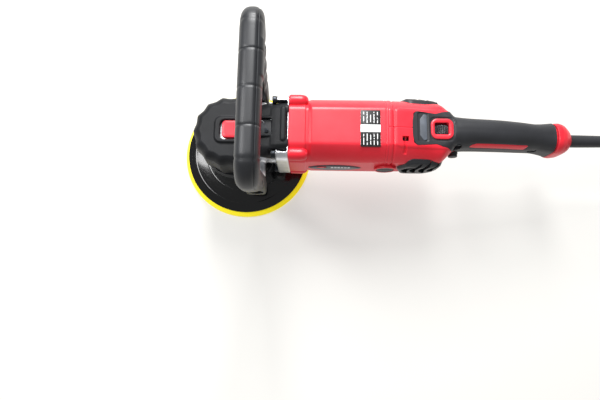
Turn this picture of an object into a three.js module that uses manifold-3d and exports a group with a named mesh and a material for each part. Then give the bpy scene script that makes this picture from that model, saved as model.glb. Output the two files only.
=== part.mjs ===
// Dual action car polisher: a corded electric tool that spins and orbits a round pad.
// Millimetres. +Z points up along the spindle, +X runs from the pad towards the rear grip, and the
// origin is the centre of the pad's working face. The user stands behind the tool, so left is -Y.

import * as THREE from "three";
import { mergeVertices } from "three/addons/utils/BufferGeometryUtils.js";
import Module from "manifold-3d";

const wasm = await Module();
wasm.setup();

// ---------------------------------------------------------------- driving dimensions

const GAP = 0.3; // between pieces cut to fit each other
const FINE = 28; // sides of the large round pieces
const ROUND = 16; // sides of the middling ones
const SMALL = 8; // sides of screws, pins and the cord

const PAD = { radius: 75, topRadius: 70.5, height: 8, hubTop: 26, orbit: 7.5 };
const SPINDLE_X = -PAD.orbit; // the drive spindle stands off the pad's own axis by the orbit radius
const MOTOR_Z = 80; // height of the motor shaft
const GEAR = { teeth: 36, pinionTeeth: 9, radius: 25, inner: 19.5, outer: 25.8, back: 62.5, web: 71.5 };
const SHAFT = { radius: 4, pinion: 3, step: 28, end: 171 };
const LOCK = { x: 4, pinRadius: 1.5, pinBottom: 72.5, notches: 12, travel: 3, notchRadius: 2 };

const HEAD = { radius: 33.7, bottom: 60, top: 97, wall: 4 };
const NECK = { start: 10, end: 41, halfWidth: 24.5, halfHeight: 27.5 };
const FLANGE = { start: 41, seam: 53.7, end: 70, half: 33, corner: 8, screw: 27.5 };
const MOTOR = { end: 150, half: 33.7, corner: 15, bore: 30 };
const BRUSH = { x: 151, bossRadius: 11, capRadius: 9, face: 35.2 };
const SHROUD = { radius: 37, bore: 34.4, bottom: 34, top: 54.7 };

const HANDLE = { boltX: 19, boltZ: 64.5, barX: 27, barZ: 194, halfDepth: 10, halfHeight: 12 };
const ARM = { inner: 41, outer: 57.2, bottom: 50, bossFace: 40.5 };

const REAR = { bulkheadStart: 160, bulkheadEnd: 176, gripStart: 216, end: 334 };
const WALL = { skin: 2, shell: 5 }; // depths below the outer surface: rubber skin, inside of shell
const DIAL = { x: 202.5, z: 95.4, radius: 12, halfWidth: 5, ringHalf: 10.5, ringTop: 107.8 };
const TRIGGER = { pivotX: 228, halfWidth: 7.5 };
const BUTTON = { x: 220, z: 80, radius: 5, face: -20.5 };
const TAIL = { z: 73, end: 347, guardEnd: 398 };

const CORD = { radius: 4, coilX: 509, coilY: -25, coilInner: 32, coilOuter: 64, coilHeight: 24 };
const PLUG = { x: 520, y: 23, z: 36.5 };

// ---------------------------------------------------------------- solids and booleans

function toSolid(geometry) {
  const bare = geometry.clone();
  bare.deleteAttribute("normal");
  bare.deleteAttribute("uv");
  const merged = mergeVertices(bare, 1e-4);
  return new wasm.Manifold(new wasm.Mesh({
    numProp: 3,
    vertProperties: new Float32Array(merged.attributes.position.array),
    triVerts: new Uint32Array(merged.index.array),
  }));
}

function toGeometry(solid) {
  const mesh = solid.getMesh();
  const geometry = new THREE.BufferGeometry();
  geometry.setAttribute("position", new THREE.BufferAttribute(new Float32Array(mesh.vertProperties), 3));
  geometry.setIndex(new THREE.BufferAttribute(new Uint32Array(mesh.triVerts), 1));
  geometry.computeVertexNormals();
  return geometry;
}

function join(first, ...others) {
  return others.reduce((whole, next) => whole.add(next), first);
}

function cut(first, ...others) {
  return others.reduce((whole, next) => whole.subtract(next), first);
}

function box(x0, x1, y0, y1, z0, z1) {
  const geometry = new THREE.BoxGeometry(x1 - x0, y1 - y0, z1 - z0);
  geometry.translate((x0 + x1) / 2, (y0 + y1) / 2, (z0 + z1) / 2);
  return toSolid(geometry);
}

// A cylinder along X, Y or Z from a to b; u and v are its centre on the other two axes in order.
function rod(axis, radius, a, b, u, v, sides = ROUND, farRadius = radius) {
  const geometry = new THREE.CylinderGeometry(farRadius, radius, b - a, sides);
  const middle = (a + b) / 2;
  if (axis === "x") {
    geometry.rotateZ(-Math.PI / 2).translate(middle, u, v);
  } else if (axis === "y") {
    geometry.translate(u, middle, v);
  } else {
    geometry.rotateX(Math.PI / 2).translate(u, v, middle);
  }
  return toSolid(geometry);
}

// A round body about a vertical axis; the profile is a list of [radius, height] pairs.
function turned(profile, x = 0, y = 0, sides = FINE) {
  const points = profile.map(([radius, height]) => new THREE.Vector2(radius, height));
  const area = points.reduce((sum, p, i) => {
    const q = points[(i + 1) % points.length];
    return sum + p.x * q.y - q.x * p.y;
  }, 0);
  if (area < 0) points.reverse();
  if (points[0].x > 0 || points.at(-1).x > 0) points.push(points[0].clone());
  const geometry = new THREE.LatheGeometry(points, sides).rotateX(Math.PI / 2).translate(x, y, 0);
  return toSolid(geometry);
}

// The same about the motor shaft; the profile is a list of [radius, x] pairs.
function turnedOnShaft(profile, sides = ROUND) {
  const quarter = new THREE.Matrix4().makeRotationY(Math.PI / 2).setPosition(0, 0, MOTOR_Z);
  return turned(profile, 0, 0, sides).transform(quarter.elements);
}

function ringOnShaft(inner, outer, x0, x1, sides = ROUND) {
  return turnedOnShaft([[inner, x0], [outer, x0], [outer, x1], [inner, x1]], sides);
}

// A closed skin through rings of points that all have the same count, with a fan on each end.
function loft(rings) {
  const count = rings[0].length;
  const points = rings.flat();
  const index = [];
  for (let r = 0; r + 1 < rings.length; r += 1) {
    for (let i = 0; i < count; i += 1) {
      const a = r * count + i;
      const b = r * count + ((i + 1) % count);
      index.push(a, b, b + count, a, b + count, a + count);
    }
  }
  for (const [ring, first] of [[0, true], [rings.length - 1, false]]) {
    const centre = new THREE.Vector3();
    rings[ring].forEach((p) => centre.add(p));
    points.push(centre.divideScalar(count));
    for (let i = 0; i < count; i += 1) {
      const a = ring * count + i;
      const b = ring * count + ((i + 1) % count);
      index.push(points.length - 1, ...(first ? [b, a] : [a, b]));
    }
  }
  const geometry = new THREE.BufferGeometry().setFromPoints(points);
  geometry.setIndex(index);
  const solid = toSolid(geometry);
  if (solid.volume() > 0) return solid;
  geometry.setIndex(index.reverse());
  return toSolid(geometry);
}

// A rounded rectangle across X, as points that run once round it.
function roundedRing(x, zMiddle, halfWidth, halfHeight, corner, steps = 3) {
  const radius = Math.min(corner, halfWidth, halfHeight);
  const ring = [];
  for (let quarter = 0; quarter < 4; quarter += 1) {
    const signY = quarter === 0 || quarter === 3 ? 1 : -1;
    const signZ = quarter < 2 ? 1 : -1;
    for (let i = 0; i <= steps; i += 1) {
      const angle = ((quarter + i / steps) * Math.PI) / 2;
      ring.push(new THREE.Vector3(
        x,
        signY * (halfWidth - radius) + radius * Math.cos(angle),
        zMiddle + signZ * (halfHeight - radius) + radius * Math.sin(angle),
      ));
    }
  }
  return ring;
}

// A plate with the outline given as [x, z] pairs, from y0 to y1.
function plateAcrossY(outline, y0, y1) {
  const shape = new THREE.Shape(outline.map(([x, z]) => new THREE.Vector2(x, z)));
  const geometry = new THREE.ExtrudeGeometry(shape, { depth: y1 - y0, bevelEnabled: false });
  return toSolid(geometry.rotateX(Math.PI / 2).translate(0, y1, 0));
}

function mirrored(solid) {
  return solid.mirror([0, 1, 0]);
}

// ---------------------------------------------------------------- the parts list

const polisher = new THREE.Group();

const LOOKS = {
  black_plastic: { color: 0x1b1c1e, roughness: 0.55, metalness: 0 },
  black_rubber: { color: 0x202123, roughness: 0.8, metalness: 0 },
  red_plastic: { color: 0xe0283a, roughness: 0.35, metalness: 0 },
  yellow_foam: { color: 0xf6e400, roughness: 0.9, metalness: 0 },
  aluminium: { color: 0xd4d6d8, roughness: 0.35, metalness: 1 },
  steel: { color: 0xb9bcc0, roughness: 0.3, metalness: 1 },
  copper: { color: 0xb8734a, roughness: 0.4, metalness: 1 },
  brass: { color: 0xc9a552, roughness: 0.35, metalness: 1 },
  carbon: { color: 0x2a2a2c, roughness: 0.7, metalness: 0 },
  board_green: { color: 0x2f6b45, roughness: 0.6, metalness: 0 },
};

function add(name, look, solid) {
  const mesh = new THREE.Mesh(toGeometry(solid), new THREE.MeshStandardMaterial(LOOKS[look]));
  mesh.name = name;
  polisher.add(mesh);
}

// A bore that a shaft of this radius turns freely in, corners and all.
function runningBore(radius, sides = ROUND) {
  return radius / Math.cos(Math.PI / sides) + 0.06;
}

function bearingOnShaft(bore, outer, x0, x1) {
  return ringOnShaft(bore, outer, x0, x1);
}

// ---------------------------------------------------------------- pad and orbit drive

function makePad() {
  const foam = turned([[0, 0], [PAD.radius, 0], [PAD.radius, 2], [PAD.topRadius, PAD.height], [0, PAD.height]]);
  add("foam_pad", "yellow_foam", foam);
  const plate = turned([
    [0, PAD.height], [70, PAD.height], [70, 10], [62, 12], [42, 15.5], [31, 17.5], [19, 19], [17, PAD.hubTop],
    [0, PAD.hubTop],
  ]);
  add("backing_plate", "black_plastic", plate);
  add("pad_arbor", "steel", turned([[0, PAD.hubTop], [9, PAD.hubTop], [9, 30], [6, 30.5], [6, 43], [0, 43]], 0, 0, ROUND));
  add("pad_bearing", "steel", turned([[runningBore(6), 32], [14, 32], [14, 43], [runningBore(6), 43]], 0, 0, ROUND));
}

function makeSpindle() {
  const pocket = rod("z", 14.05, 30, 43.4, 0, 0, ROUND);
  const disc = turned([[0, 31], [30.5, 31], [32, 33], [32, 44], [0, 46]], SPINDLE_X, 0);
  const lighter = box(12, 40, -40, 40, 30, 38);
  add("counterweight", "steel", cut(disc, pocket, rod("z", 7.6, 43.4, 47, SPINDLE_X, 0), lighter));
  const shaft = turned([
    [0, 43.6], [7.5, 43.6], [7.5, 75], [6, 76], [6, 86], [4, 87], [4, 95.6], [0, 95.6],
  ], SPINDLE_X, 0, ROUND);
  add("spindle", "steel", shaft);
  add("spindle_bearing_lower", "steel", turned([[runningBore(7.5), 49], [17.5, 49], [17.5, 60], [runningBore(7.5), 60]], SPINDLE_X, 0, ROUND));
  add("spindle_bearing_upper", "steel", turned([[runningBore(4), 88], [7, 88], [7, 95.6], [runningBore(4), 95.6]], SPINDLE_X, 0, ROUND));
}

// ---------------------------------------------------------------- bevel gears

// Heights and radii shrink towards the apex, where the spindle's axis meets the motor shaft's.
const TOOTH = (GEAR.radius * 2) / GEAR.teeth;
const CONE = GEAR.pinionTeeth / GEAR.teeth;

// Angles of one tooth's four edges as shares of the pitch, and whether each edge is on the tip.
const TOOTH_EDGES = [[-0.25, 0], [-0.1, 1], [0.1, 1], [0.25, 0]];

function makeBevelGear() {
  const rings = [];
  for (let tooth = 0; tooth < GEAR.teeth; tooth += 1) {
    for (const [share, tip] of TOOTH_EDGES) {
      const angle = ((tooth + 0.5 + share) * 2 * Math.PI) / GEAR.teeth;
      const rise = tip ? 0.8 * TOOTH : -1.15 * TOOTH;
      const face = (radius) => MOTOR_Z - CONE * radius + (rise * radius) / GEAR.radius;
      const profile = [
        [7.6, GEAR.back], [GEAR.outer, 66], [GEAR.outer, face(GEAR.outer)],
        [GEAR.inner, face(GEAR.inner)], [GEAR.inner - 0.6, GEAR.web], [7.6, GEAR.web],
      ];
      rings.push(profile.map(([radius, height]) => new THREE.Vector3(
        SPINDLE_X + radius * Math.cos(angle),
        radius * Math.sin(angle),
        height,
      )));
    }
  }
  let gear = closedLoop(rings);
  for (let i = 0; i < LOCK.notches; i += 1) {
    const angle = (i * 2 * Math.PI) / LOCK.notches;
    const reach = LOCK.x - SPINDLE_X;
    const x = SPINDLE_X + reach * Math.cos(angle);
    const y = reach * Math.sin(angle);
    gear = cut(gear, rod("z", LOCK.notchRadius, GEAR.web - 3, GEAR.web + 1, x, y, 6));
  }
  add("bevel_gear", "steel", gear);
}

function makeBevelPinion() {
  const rings = [];
  for (let tooth = 0; tooth < GEAR.pinionTeeth; tooth += 1) {
    for (const [share, tip] of TOOTH_EDGES) {
      const angle = ((tooth + share) * 2 * Math.PI) / GEAR.pinionTeeth - Math.PI / 2;
      const rise = tip ? 0.8 * TOOTH : -1.15 * TOOTH;
      const size = (reach) => (reach * (CONE * GEAR.radius + rise)) / GEAR.radius;
      const bore = SHAFT.pinion + 0.12;
      const profile = [
        [bore, GEAR.inner], [size(GEAR.inner), GEAR.inner],
        [size(GEAR.outer), GEAR.outer], [bore, GEAR.outer],
      ];
      rings.push(profile.map(([radius, reach]) => new THREE.Vector3(
        SPINDLE_X + reach,
        radius * Math.cos(angle),
        MOTOR_Z + radius * Math.sin(angle),
      )));
    }
  }
  add("bevel_pinion", "steel", closedLoop(rings));
}

// A ring-shaped body: profiles placed round an axis, the last joined to the first.
function closedLoop(rings) {
  const count = rings[0].length;
  const index = [];
  rings.forEach((ring, r) => {
    const next = ((r + 1) % rings.length) * count;
    for (let i = 0; i < count; i += 1) {
      const a = r * count + i;
      const b = r * count + ((i + 1) % count);
      const c = next + ((i + 1) % count);
      const d = next + i;
      index.push(a, b, c, a, c, d);
    }
  });
  const geometry = new THREE.BufferGeometry().setFromPoints(rings.flat());
  geometry.setIndex(index);
  const solid = toSolid(geometry);
  if (solid.volume() > 0) return solid;
  geometry.setIndex(index.reverse());
  return toSolid(geometry);
}

// ---------------------------------------------------------------- gear head

// The gear head's outside, grown by a clearance so that the rubber boot can be cut to fit it.
function headOutside(extra) {
  const caseBody = turned([
    [0, HEAD.bottom], [HEAD.radius + extra, HEAD.bottom], [HEAD.radius + extra, HEAD.top - 5],
    [HEAD.radius - 6 + extra, HEAD.top + extra], [0, HEAD.top + extra],
  ], SPINDLE_X, 0);
  const neck = loft([
    roundedRing(NECK.start, 78, 18 + extra, 19 + extra, 10),
    roundedRing(24, 79, NECK.halfWidth + extra, 23 + extra, 12),
    roundedRing(NECK.end, MOTOR_Z, NECK.halfWidth + 1 + extra, NECK.halfHeight + extra, 12),
  ]);
  const bosses = ["left", "right"].map((side) => {
    const boss = rod("y", 9 + extra, 20, ARM.bossFace, HANDLE.boltX, HANDLE.boltZ, ROUND);
    return side === "right" ? boss : mirrored(boss);
  });
  return join(caseBody, neck, ...bosses);
}

function flangeBlock(x0, x1) {
  return loft([x0, x1].map((x) => roundedRing(x, MOTOR_Z, FLANGE.half, FLANGE.half, FLANGE.corner)));
}

function flangeScrewPlaces() {
  return [[-1, -1], [1, -1], [1, 1], [-1, 1]].map(([y, z]) => [y * FLANGE.screw, MOTOR_Z + z * FLANGE.screw]);
}

function makeGearHead() {
  const block = cut(flangeBlock(FLANGE.start, FLANGE.seam), box(38, 52.4, -19, 19, 107.6, 120));
  const gearRoom = turned([
    [0, 50], [28.5, 50], [28.5, 84], [22, 87], [0, 87],
  ], SPINDLE_X, 0);
  const bores = [
    rod("z", 7.05, 86, 96, SPINDLE_X, 0),
    rod("z", LOCK.pinRadius + 0.2, 80, 110, LOCK.x, 0, SMALL),
    rod("x", 8.6, 10, 30, 0, MOTOR_Z),
    rod("x", 11.02, 29.5, 41, 0, MOTOR_Z),
    rod("x", 27, 40.9, 60, 0, MOTOR_Z),
    rod("z", HEAD.radius + GAP, 40, HEAD.bottom, SPINDLE_X, 0, FINE),
    rod("z", SHROUD.radius + GAP, 40, SHROUD.top + GAP, SPINDLE_X, 0, FINE),
  ];
  for (const [y, z] of flangeScrewPlaces()) {
    bores.push(rod("x", 2.7, 30, 60, y, z, SMALL));
  }
  for (const side of [-1, 1]) {
    const ends = [side * 27, side * 45].sort((a, b) => a - b);
    bores.push(rod("y", 4.2, ends[0], ends[1], HANDLE.boltX, HANDLE.boltZ, SMALL));
  }
  add("gear_housing", "aluminium", cut(join(headOutside(0), block), gearRoom, ...bores));
  const plate = turned([
    [0, 47.5], [21, 47.5], [21, 55.2], [HEAD.radius, 55.2], [HEAD.radius, HEAD.bottom], [0, HEAD.bottom],
  ], SPINDLE_X, 0);
  const seat = [rod("z", 17.52, 49, 62, SPINDLE_X, 0, ROUND), rod("z", 10, 40, 50, SPINDLE_X, 0)];
  add("bearing_plate", "aluminium", cut(plate, ...seat));
  add("shroud", "black_plastic", turned([
    [SHROUD.bore, SHROUD.bottom], [SHROUD.radius, SHROUD.bottom], [SHROUD.radius, SHROUD.top],
    [21.3, SHROUD.top], [21.3, SHROUD.top - 3], [SHROUD.bore, SHROUD.top - 5],
  ], SPINDLE_X, 0));
  flangeScrewPlaces().forEach(([y, z], i) => {
    const head = rod("x", 4.2, 37, FLANGE.start, y, z, SMALL);
    add(`flange_screw_${i + 1}`, "steel", join(head, rod("x", 2.5, 40.5, 66, y, z, SMALL)));
  });
}

// The boot's outline seen from above: flats between corners, slightly hollow, all round the head.
function bootRing(z, scale) {
  const corners = 14;
  const ring = [];
  for (let i = 0; i < corners * 2; i += 1) {
    const angle = Math.PI + (i * Math.PI) / corners;
    const radius = scale * (i % 2 ? 36.6 : 38.5);
    ring.push(new THREE.Vector3(SPINDLE_X + radius * Math.cos(angle), radius * Math.sin(angle), z));
  }
  return ring;
}

function bootNeckRing(x, top, halfWidth) {
  return roundedRing(x, (90 + top) / 2, halfWidth, (top - 90) / 2, 8, 3);
}

function makeBoot() {
  const head = loft([
    bootRing(60.3, 0.955), bootRing(62, 0.97), bootRing(85, 1), bootRing(93, 0.97), bootRing(98.5, 0.86),
    bootRing(100, 0.78),
  ]);
  const neck = loft([
    bootNeckRing(6, 100.5, 20), bootNeckRing(22, 104.5, 25), bootNeckRing(32, 108, 27),
    bootNeckRing(40.6, 110.5, 27),
  ]);
  const tongue = loft([bootNeckRing(36, 110, 18.5), bootNeckRing(47, 112.5, 18.5), bootNeckRing(52, 114, 18.5)]);
  const rim = box(-18.5, 12, -13.5, 13.5, 96, 102);
  const windows = [
    box(-15.2, 8.8, -9.6, 9.6, 90, 110),
    box(24, 37, -8.5, 8.5, 105.5, 120),
  ];
  const notch = box(36, 52.5, -60, 60, 80, 107.9);
  const screwRoom = flangeScrewPlaces().map(([y, z]) => rod("x", 5.2, 34, 42, y, z, SMALL));
  const inside = join(headOutside(GAP), ...screwRoom);
  const boot = cut(join(head, neck, cut(tongue, notch), rim), inside, ...windows);
  add("head_boot", "black_rubber", largestPiece(boot));
  const cap = box(-14.8, 8.4, -9.2, 9.2, HEAD.top + LOCK.travel + GAP, 103.5);
  const pin = rod("z", LOCK.pinRadius, LOCK.pinBottom, HEAD.top + LOCK.travel + 1, LOCK.x, 0, SMALL);
  add("spindle_lock_button", "red_plastic", join(cap, pin));
  const springTop = HEAD.top + LOCK.travel + GAP;
  add("lock_spring", "steel", turned([
    [2.2, HEAD.top], [3.2, HEAD.top], [3.2, springTop], [2.2, springTop],
  ], LOCK.x, 0, SMALL));
}

function largestPiece(solid) {
  return solid.decompose().sort((a, b) => b.volume() - a.volume())[0];
}

// ---------------------------------------------------------------- D-handle

// Half of the bail's centre line in the plane across the tool, from the foot to the middle.
function bailStations() {
  const bend = { y: 52, z: 181, radius: 13 };
  const stations = [
    { y: 49.1, z: ARM.bottom, lean: 90, half: 8.1 },
    { y: 49.1, z: 76, lean: 90, half: 8.1 },
    { y: 51.5, z: 92, lean: 83, half: 9.5 },
    { y: 56, z: 122, lean: 81, half: 11.5 },
    { y: 62.5, z: 160, lean: 81, half: 12 },
  ];
  for (let i = 0; i <= 5; i += 1) {
    const turn = (i / 5) * (Math.PI / 2);
    stations.push({
      y: bend.y + bend.radius * Math.cos(turn),
      z: bend.z + bend.radius * Math.sin(turn),
      lean: 90 + (i / 5) * 90,
      half: HANDLE.halfHeight,
    });
  }
  return stations;
}

// The handle leans back: its middle plane passes through the bolts and the bar.
function bailX(z) {
  const share = (z - HANDLE.boltZ) / (HANDLE.barZ - HANDLE.boltZ);
  return HANDLE.boltX + (HANDLE.barX - HANDLE.boltX) * share;
}

function bailRing(side, station) {
  const ring = [];
  const lean = THREE.MathUtils.degToRad(station.lean);
  const across = [Math.sin(lean), -Math.cos(lean)];
  const soft = station.z < 90 ? 0.35 : 0.75;
  for (let i = 0; i < 12; i += 1) {
    const angle = ((i + 0.5) * Math.PI) / 6;
    const c = Math.sign(Math.cos(angle)) * Math.abs(Math.cos(angle)) ** soft;
    const s = Math.sign(Math.sin(angle)) * Math.abs(Math.sin(angle)) ** soft;
    const y = station.y + across[0] * station.half * c;
    const z = station.z + across[1] * station.half * c;
    ring.push(new THREE.Vector3(bailX(z) + (HANDLE.halfDepth - 0.3) * s, side * y, z));
  }
  return ring;
}

function makeHandle() {
  const stations = bailStations();
  const left = stations.map((station) => bailRing(-1, station));
  const right = stations.map((station) => bailRing(1, station)).reverse();
  let bail = loft([...left, ...right]);
  for (const side of [-1, 1]) {
    const reach = (a, b) => [side * a, side * b].sort((p, q) => p - q);
    const [b0, b1] = reach(30, 70);
    const [c0, c1] = reach(49, 70);
    bail = cut(
      bail,
      rod("y", 4.3, b0, b1, HANDLE.boltX, HANDLE.boltZ, SMALL),
      rod("y", 7.5, c0, c1, HANDLE.boltX, HANDLE.boltZ, ROUND),
    );
    const [s0, s1] = reach(27.3, 51);
    const [h0, h1] = reach(49.1, 54);
    const bolt = join(
      rod("y", 4, s0, s1, HANDLE.boltX, HANDLE.boltZ, SMALL),
      rod("y", 6.5, h0, h1, HANDLE.boltX, HANDLE.boltZ, SMALL),
    );
    add(side < 0 ? "handle_bolt_left" : "handle_bolt_right", "steel", bolt);
  }
  // Each half ends just short of the leaning middle plane.
  const lean = Math.atan2(HANDLE.barX - HANDLE.boltX, HANDLE.barZ - HANDLE.boltZ);
  for (const [name, direction] of [["d_handle_front", -1], ["d_handle_rear", 1]]) {
    const block = new THREE.BoxGeometry(60, 200, 260);
    block.translate(direction * (30 + GAP / 2), 0, 60);
    block.rotateY(lean).translate(HANDLE.boltX, 0, HANDLE.boltZ);
    add(name, "black_plastic", bail.intersect(toSolid(block)));
  }
}

// ---------------------------------------------------------------- motor

function makeMotorHousing() {
  const body = loft([
    roundedRing(66, MOTOR_Z, MOTOR.half - 1.2, MOTOR.half - 1.2, MOTOR.corner),
    roundedRing(72.4, MOTOR_Z, MOTOR.half - 1.2, MOTOR.half - 1.2, MOTOR.corner),
    roundedRing(76, MOTOR_Z, MOTOR.half, MOTOR.half, MOTOR.corner),
    roundedRing(MOTOR.end, MOTOR_Z, MOTOR.half, MOTOR.half, MOTOR.corner),
  ]);
  const boss = rod("y", BRUSH.bossRadius, 20, BRUSH.face, BRUSH.x, MOTOR_Z, ROUND);
  const well = rod("y", BRUSH.capRadius + 0.2, 10, 50, BRUSH.x, MOTOR_Z, ROUND);
  let housing = join(body, flangeBlock(FLANGE.seam, FLANGE.end), boss, mirrored(boss));
  housing = cut(housing, rod("x", MOTOR.bore, 40, 170, 0, MOTOR_Z, FINE), well, mirrored(well));
  for (const [y, z] of flangeScrewPlaces()) {
    housing = cut(housing, rod("x", 2.7, 50, 66.4, y, z, SMALL));
  }
  add("motor_housing", "red_plastic", largestPiece(housing));
}

function makeMotor() {
  add("stator", "steel", turnedOnShaft([
    [18.4, 82], [21, 76], [28, 76], [29.7, 82], [29.7, 126], [28, 132], [21, 132], [18.4, 126],
  ], FINE));
  add("armature_core", "copper", turnedOnShaft([
    [4.05, 76], [13, 76], [17.6, 82], [17.6, 126], [13, 133], [4.05, 133],
  ]));
  add("motor_shaft", "steel", turnedOnShaft([
    [0, GEAR.inner + SPINDLE_X], [SHAFT.pinion, GEAR.inner + SPINDLE_X], [SHAFT.pinion, SHAFT.step],
    [SHAFT.radius, SHAFT.step], [SHAFT.radius, SHAFT.end], [0, SHAFT.end],
  ]));
  add("commutator", "copper", ringOnShaft(4.05, 12, 143, 159));
  add("motor_bearing_front", "steel", bearingOnShaft(runningBore(SHAFT.radius), 11, 30, 37));
  add("motor_bearing_rear", "steel", bearingOnShaft(runningBore(SHAFT.radius), 11, 163, 170));
  let fan = join(ringOnShaft(4.05, 9, 58, 70), ringOnShaft(8, 25, 68, 70));
  for (let i = 0; i < 9; i += 1) {
    const blade = box(60, 68.5, 8, 25, -0.8, 0.8);
    fan = join(fan, blade.rotate([(i * 360) / 9, 0, 0]).translate([0, 0, MOTOR_Z]));
  }
  add("cooling_fan", "black_plastic", fan);
}

function makeBrushes() {
  for (const [name, side] of [["left", -1], ["right", 1]]) {
    const place = (solid) => (side > 0 ? solid : mirrored(solid));
    const z = MOTOR_Z;
    const sleeve = cut(
      box(146, 156, 14, 27.8, z - 6.5, z + 6.5),
      box(147.4, 154.6, 10, 30, z - 5, z + 5),
    );
    add(`brush_holder_${name}`, "brass", place(sleeve));
    add(`carbon_brush_${name}`, "carbon", place(box(147.6, 154.4, 12.3, 26, z - 4.8, z + 4.8)));
    const slot = box(BRUSH.x - 7, BRUSH.x + 7, 33.6, 40, z - 0.9, z + 0.9);
    const cap = rod("y", BRUSH.capRadius, 28, BRUSH.face - 0.2, BRUSH.x, z, ROUND);
    add(`brush_cap_${name}`, "black_plastic", place(cut(cap, slot)));
  }
}

// ---------------------------------------------------------------- rear body and grip

// Cross-sections along the rear body and grip: x, height of the middle, half-width, half-height, corner.
const REAR_SECTIONS = [
  [150, 80, 33.7, 33.4, 15],
  [172, 79.5, 33.7, 31, 15],
  [190, 80, 33, 28, 15],
  [202, 82.5, 31.3, 24.5, 15],
  [210, 86, 25, 21, 15],
  [218, 89.6, 16.8, 17.7, 14],
  [234, 89, 15.6, 17.6, 13],
  [262, 86.6, 15.4, 17.3, 13],
  [284, 83, 15, 16.8, 13],
  [303, 79, 14, 16.5, 12.5],
  [317, 76, 14.8, 17.5, 12.5],
  [326, 72.8, 16, 20.4, 12.5],
  [334, 72.6, 16.6, 19.4, 12.5],
];

function rearOutside(offset) {
  return loft(REAR_SECTIONS.map(([x, z, halfWidth, halfHeight, corner]) =>
    roundedRing(x, z, halfWidth + offset, halfHeight + offset, corner + offset)));
}

const SHELL_SCREWS = [
  { x: 171, z: 101.5, head: -13, end: 12 },
  { x: 219, z: 98, head: -11, end: 9 },
  { x: 299, z: 82, head: -10, end: 8 },
];

function makeRearBody() {
  const outer = rearOutside(0);
  const underSkin = rearOutside(-WALL.skin - GAP);
  const inner = rearOutside(-WALL.shell);
  const gripZone = box(REAR.gripStart, 400, -80, 80, 0, 200);
  const panelZone = box(173, REAR.gripStart + 1, -17.5, 17.5, 92, 200);
  const panelRoom = box(173 - GAP, REAR.gripStart + 1, -17.5 - GAP, 17.5 + GAP, 92, 200);
  const skin = cut(rearOutside(0.6), rearOutside(-WALL.skin)).intersect(join(gripZone, panelZone));
  const ends = box(140, REAR.end, -100, 100, 0, 200);
  const hollow = join(
    inner.intersect(box(140, REAR.bulkheadStart, -80, 80, 0, 200)),
    inner.intersect(box(REAR.bulkheadEnd, 400, -80, 80, 0, 200)),
    box(330, 340, -11, 11, TAIL.z - 11, TAIL.z + 11),
    rod("x", 11.1, 155, 180, 0, MOTOR_Z),
  );
  let shell = cut(outer, cut(join(gripZone, panelRoom), underSkin), hollow);
  let grip = skin.intersect(ends);
  const bossRoom = rod("y", BRUSH.bossRadius + GAP, 18, 60, BRUSH.x, MOTOR_Z, ROUND);
  const airWay = box(158, 178, 14, 24, 70, 90);
  const airWindow = box(168, 194, 20, 50, 70, 94);
  const triggerSlot = box(TRIGGER.pivotX - 6, 276, -TRIGGER.halfWidth - 0.6, TRIGGER.halfWidth + 0.6, 30, 80);
  const buttonHole = rod("y", BUTTON.radius + GAP, -40, -5, BUTTON.x, BUTTON.z, SMALL);
  const dialWindow = box(DIAL.x - 13, DIAL.x + 13, -6, 6, 85, 120);
  const sides = [bossRoom, airWay, airWindow];
  const ringRoom = DIAL.ringHalf + GAP;
  const ringSeat = box(DIAL.x - ringRoom, DIAL.x + ringRoom, -ringRoom, ringRoom, DIAL.ringTop - 2.9, 120);
  shell = cut(shell, ...sides, ...sides.map(mirrored), triggerSlot, buttonHole, dialWindow, ringSeat);
  const ringHole = box(DIAL.x - ringRoom, DIAL.x + ringRoom, -ringRoom, ringRoom, 90, 120);
  grip = cut(grip, triggerSlot, buttonHole, ringHole);
  for (const screw of SHELL_SCREWS) {
    const shank = rod("y", 2.2, screw.head - 1, screw.end + 0.5, screw.x, screw.z, SMALL);
    const counterbore = rod("y", 4.6, -60, screw.head, screw.x, screw.z, SMALL);
    shell = cut(shell, shank, counterbore);
    grip = cut(grip, counterbore);
  }
  for (const [name, y0, y1] of [["left", -100, 0], ["right", 0, 100]]) {
    const half = box(100, 400, y0, y1, 0, 200);
    add(`rear_shell_${name}`, "red_plastic", largestPiece(shell.intersect(half)));
    add(`grip_${name}`, "black_rubber", largestPiece(grip.intersect(half)));
  }
  SHELL_SCREWS.forEach((screw, i) => {
    const shank = rod("y", 2, screw.head - 1, screw.end, screw.x, screw.z, SMALL);
    const head = rod("y", 4, screw.head - 3, screw.head - 0.05, screw.x, screw.z, SMALL);
    add(`shell_screw_${i + 1}`, "steel", join(shank, head));
  });
}

// The intake covers stand proud of the body's sides and wrap its upper corners.
function makeVentCovers() {
  const outline = [[164, 84], [168, 66], [196, 66], [209, 80], [206, 92], [196, 101], [170, 104]];
  const louvres = [[172, 76], [179, 84], [186, 76], [193, 86]].map(([x, z]) => {
    const slot = box(-1.3, 1.3, 15, 50, -7, 7);
    return slot.rotate([0, 28, 0]).translate([x, 0, z]);
  });
  const shell = cut(rearOutside(3.6), rearOutside(GAP + 0.6));
  const cover = cut(plateAcrossY(outline, 18, 50).intersect(shell), ...louvres);
  add("vent_cover_right", "black_plastic", largestPiece(cover));
  add("vent_cover_left", "black_plastic", largestPiece(mirrored(cover)));
}

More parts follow.
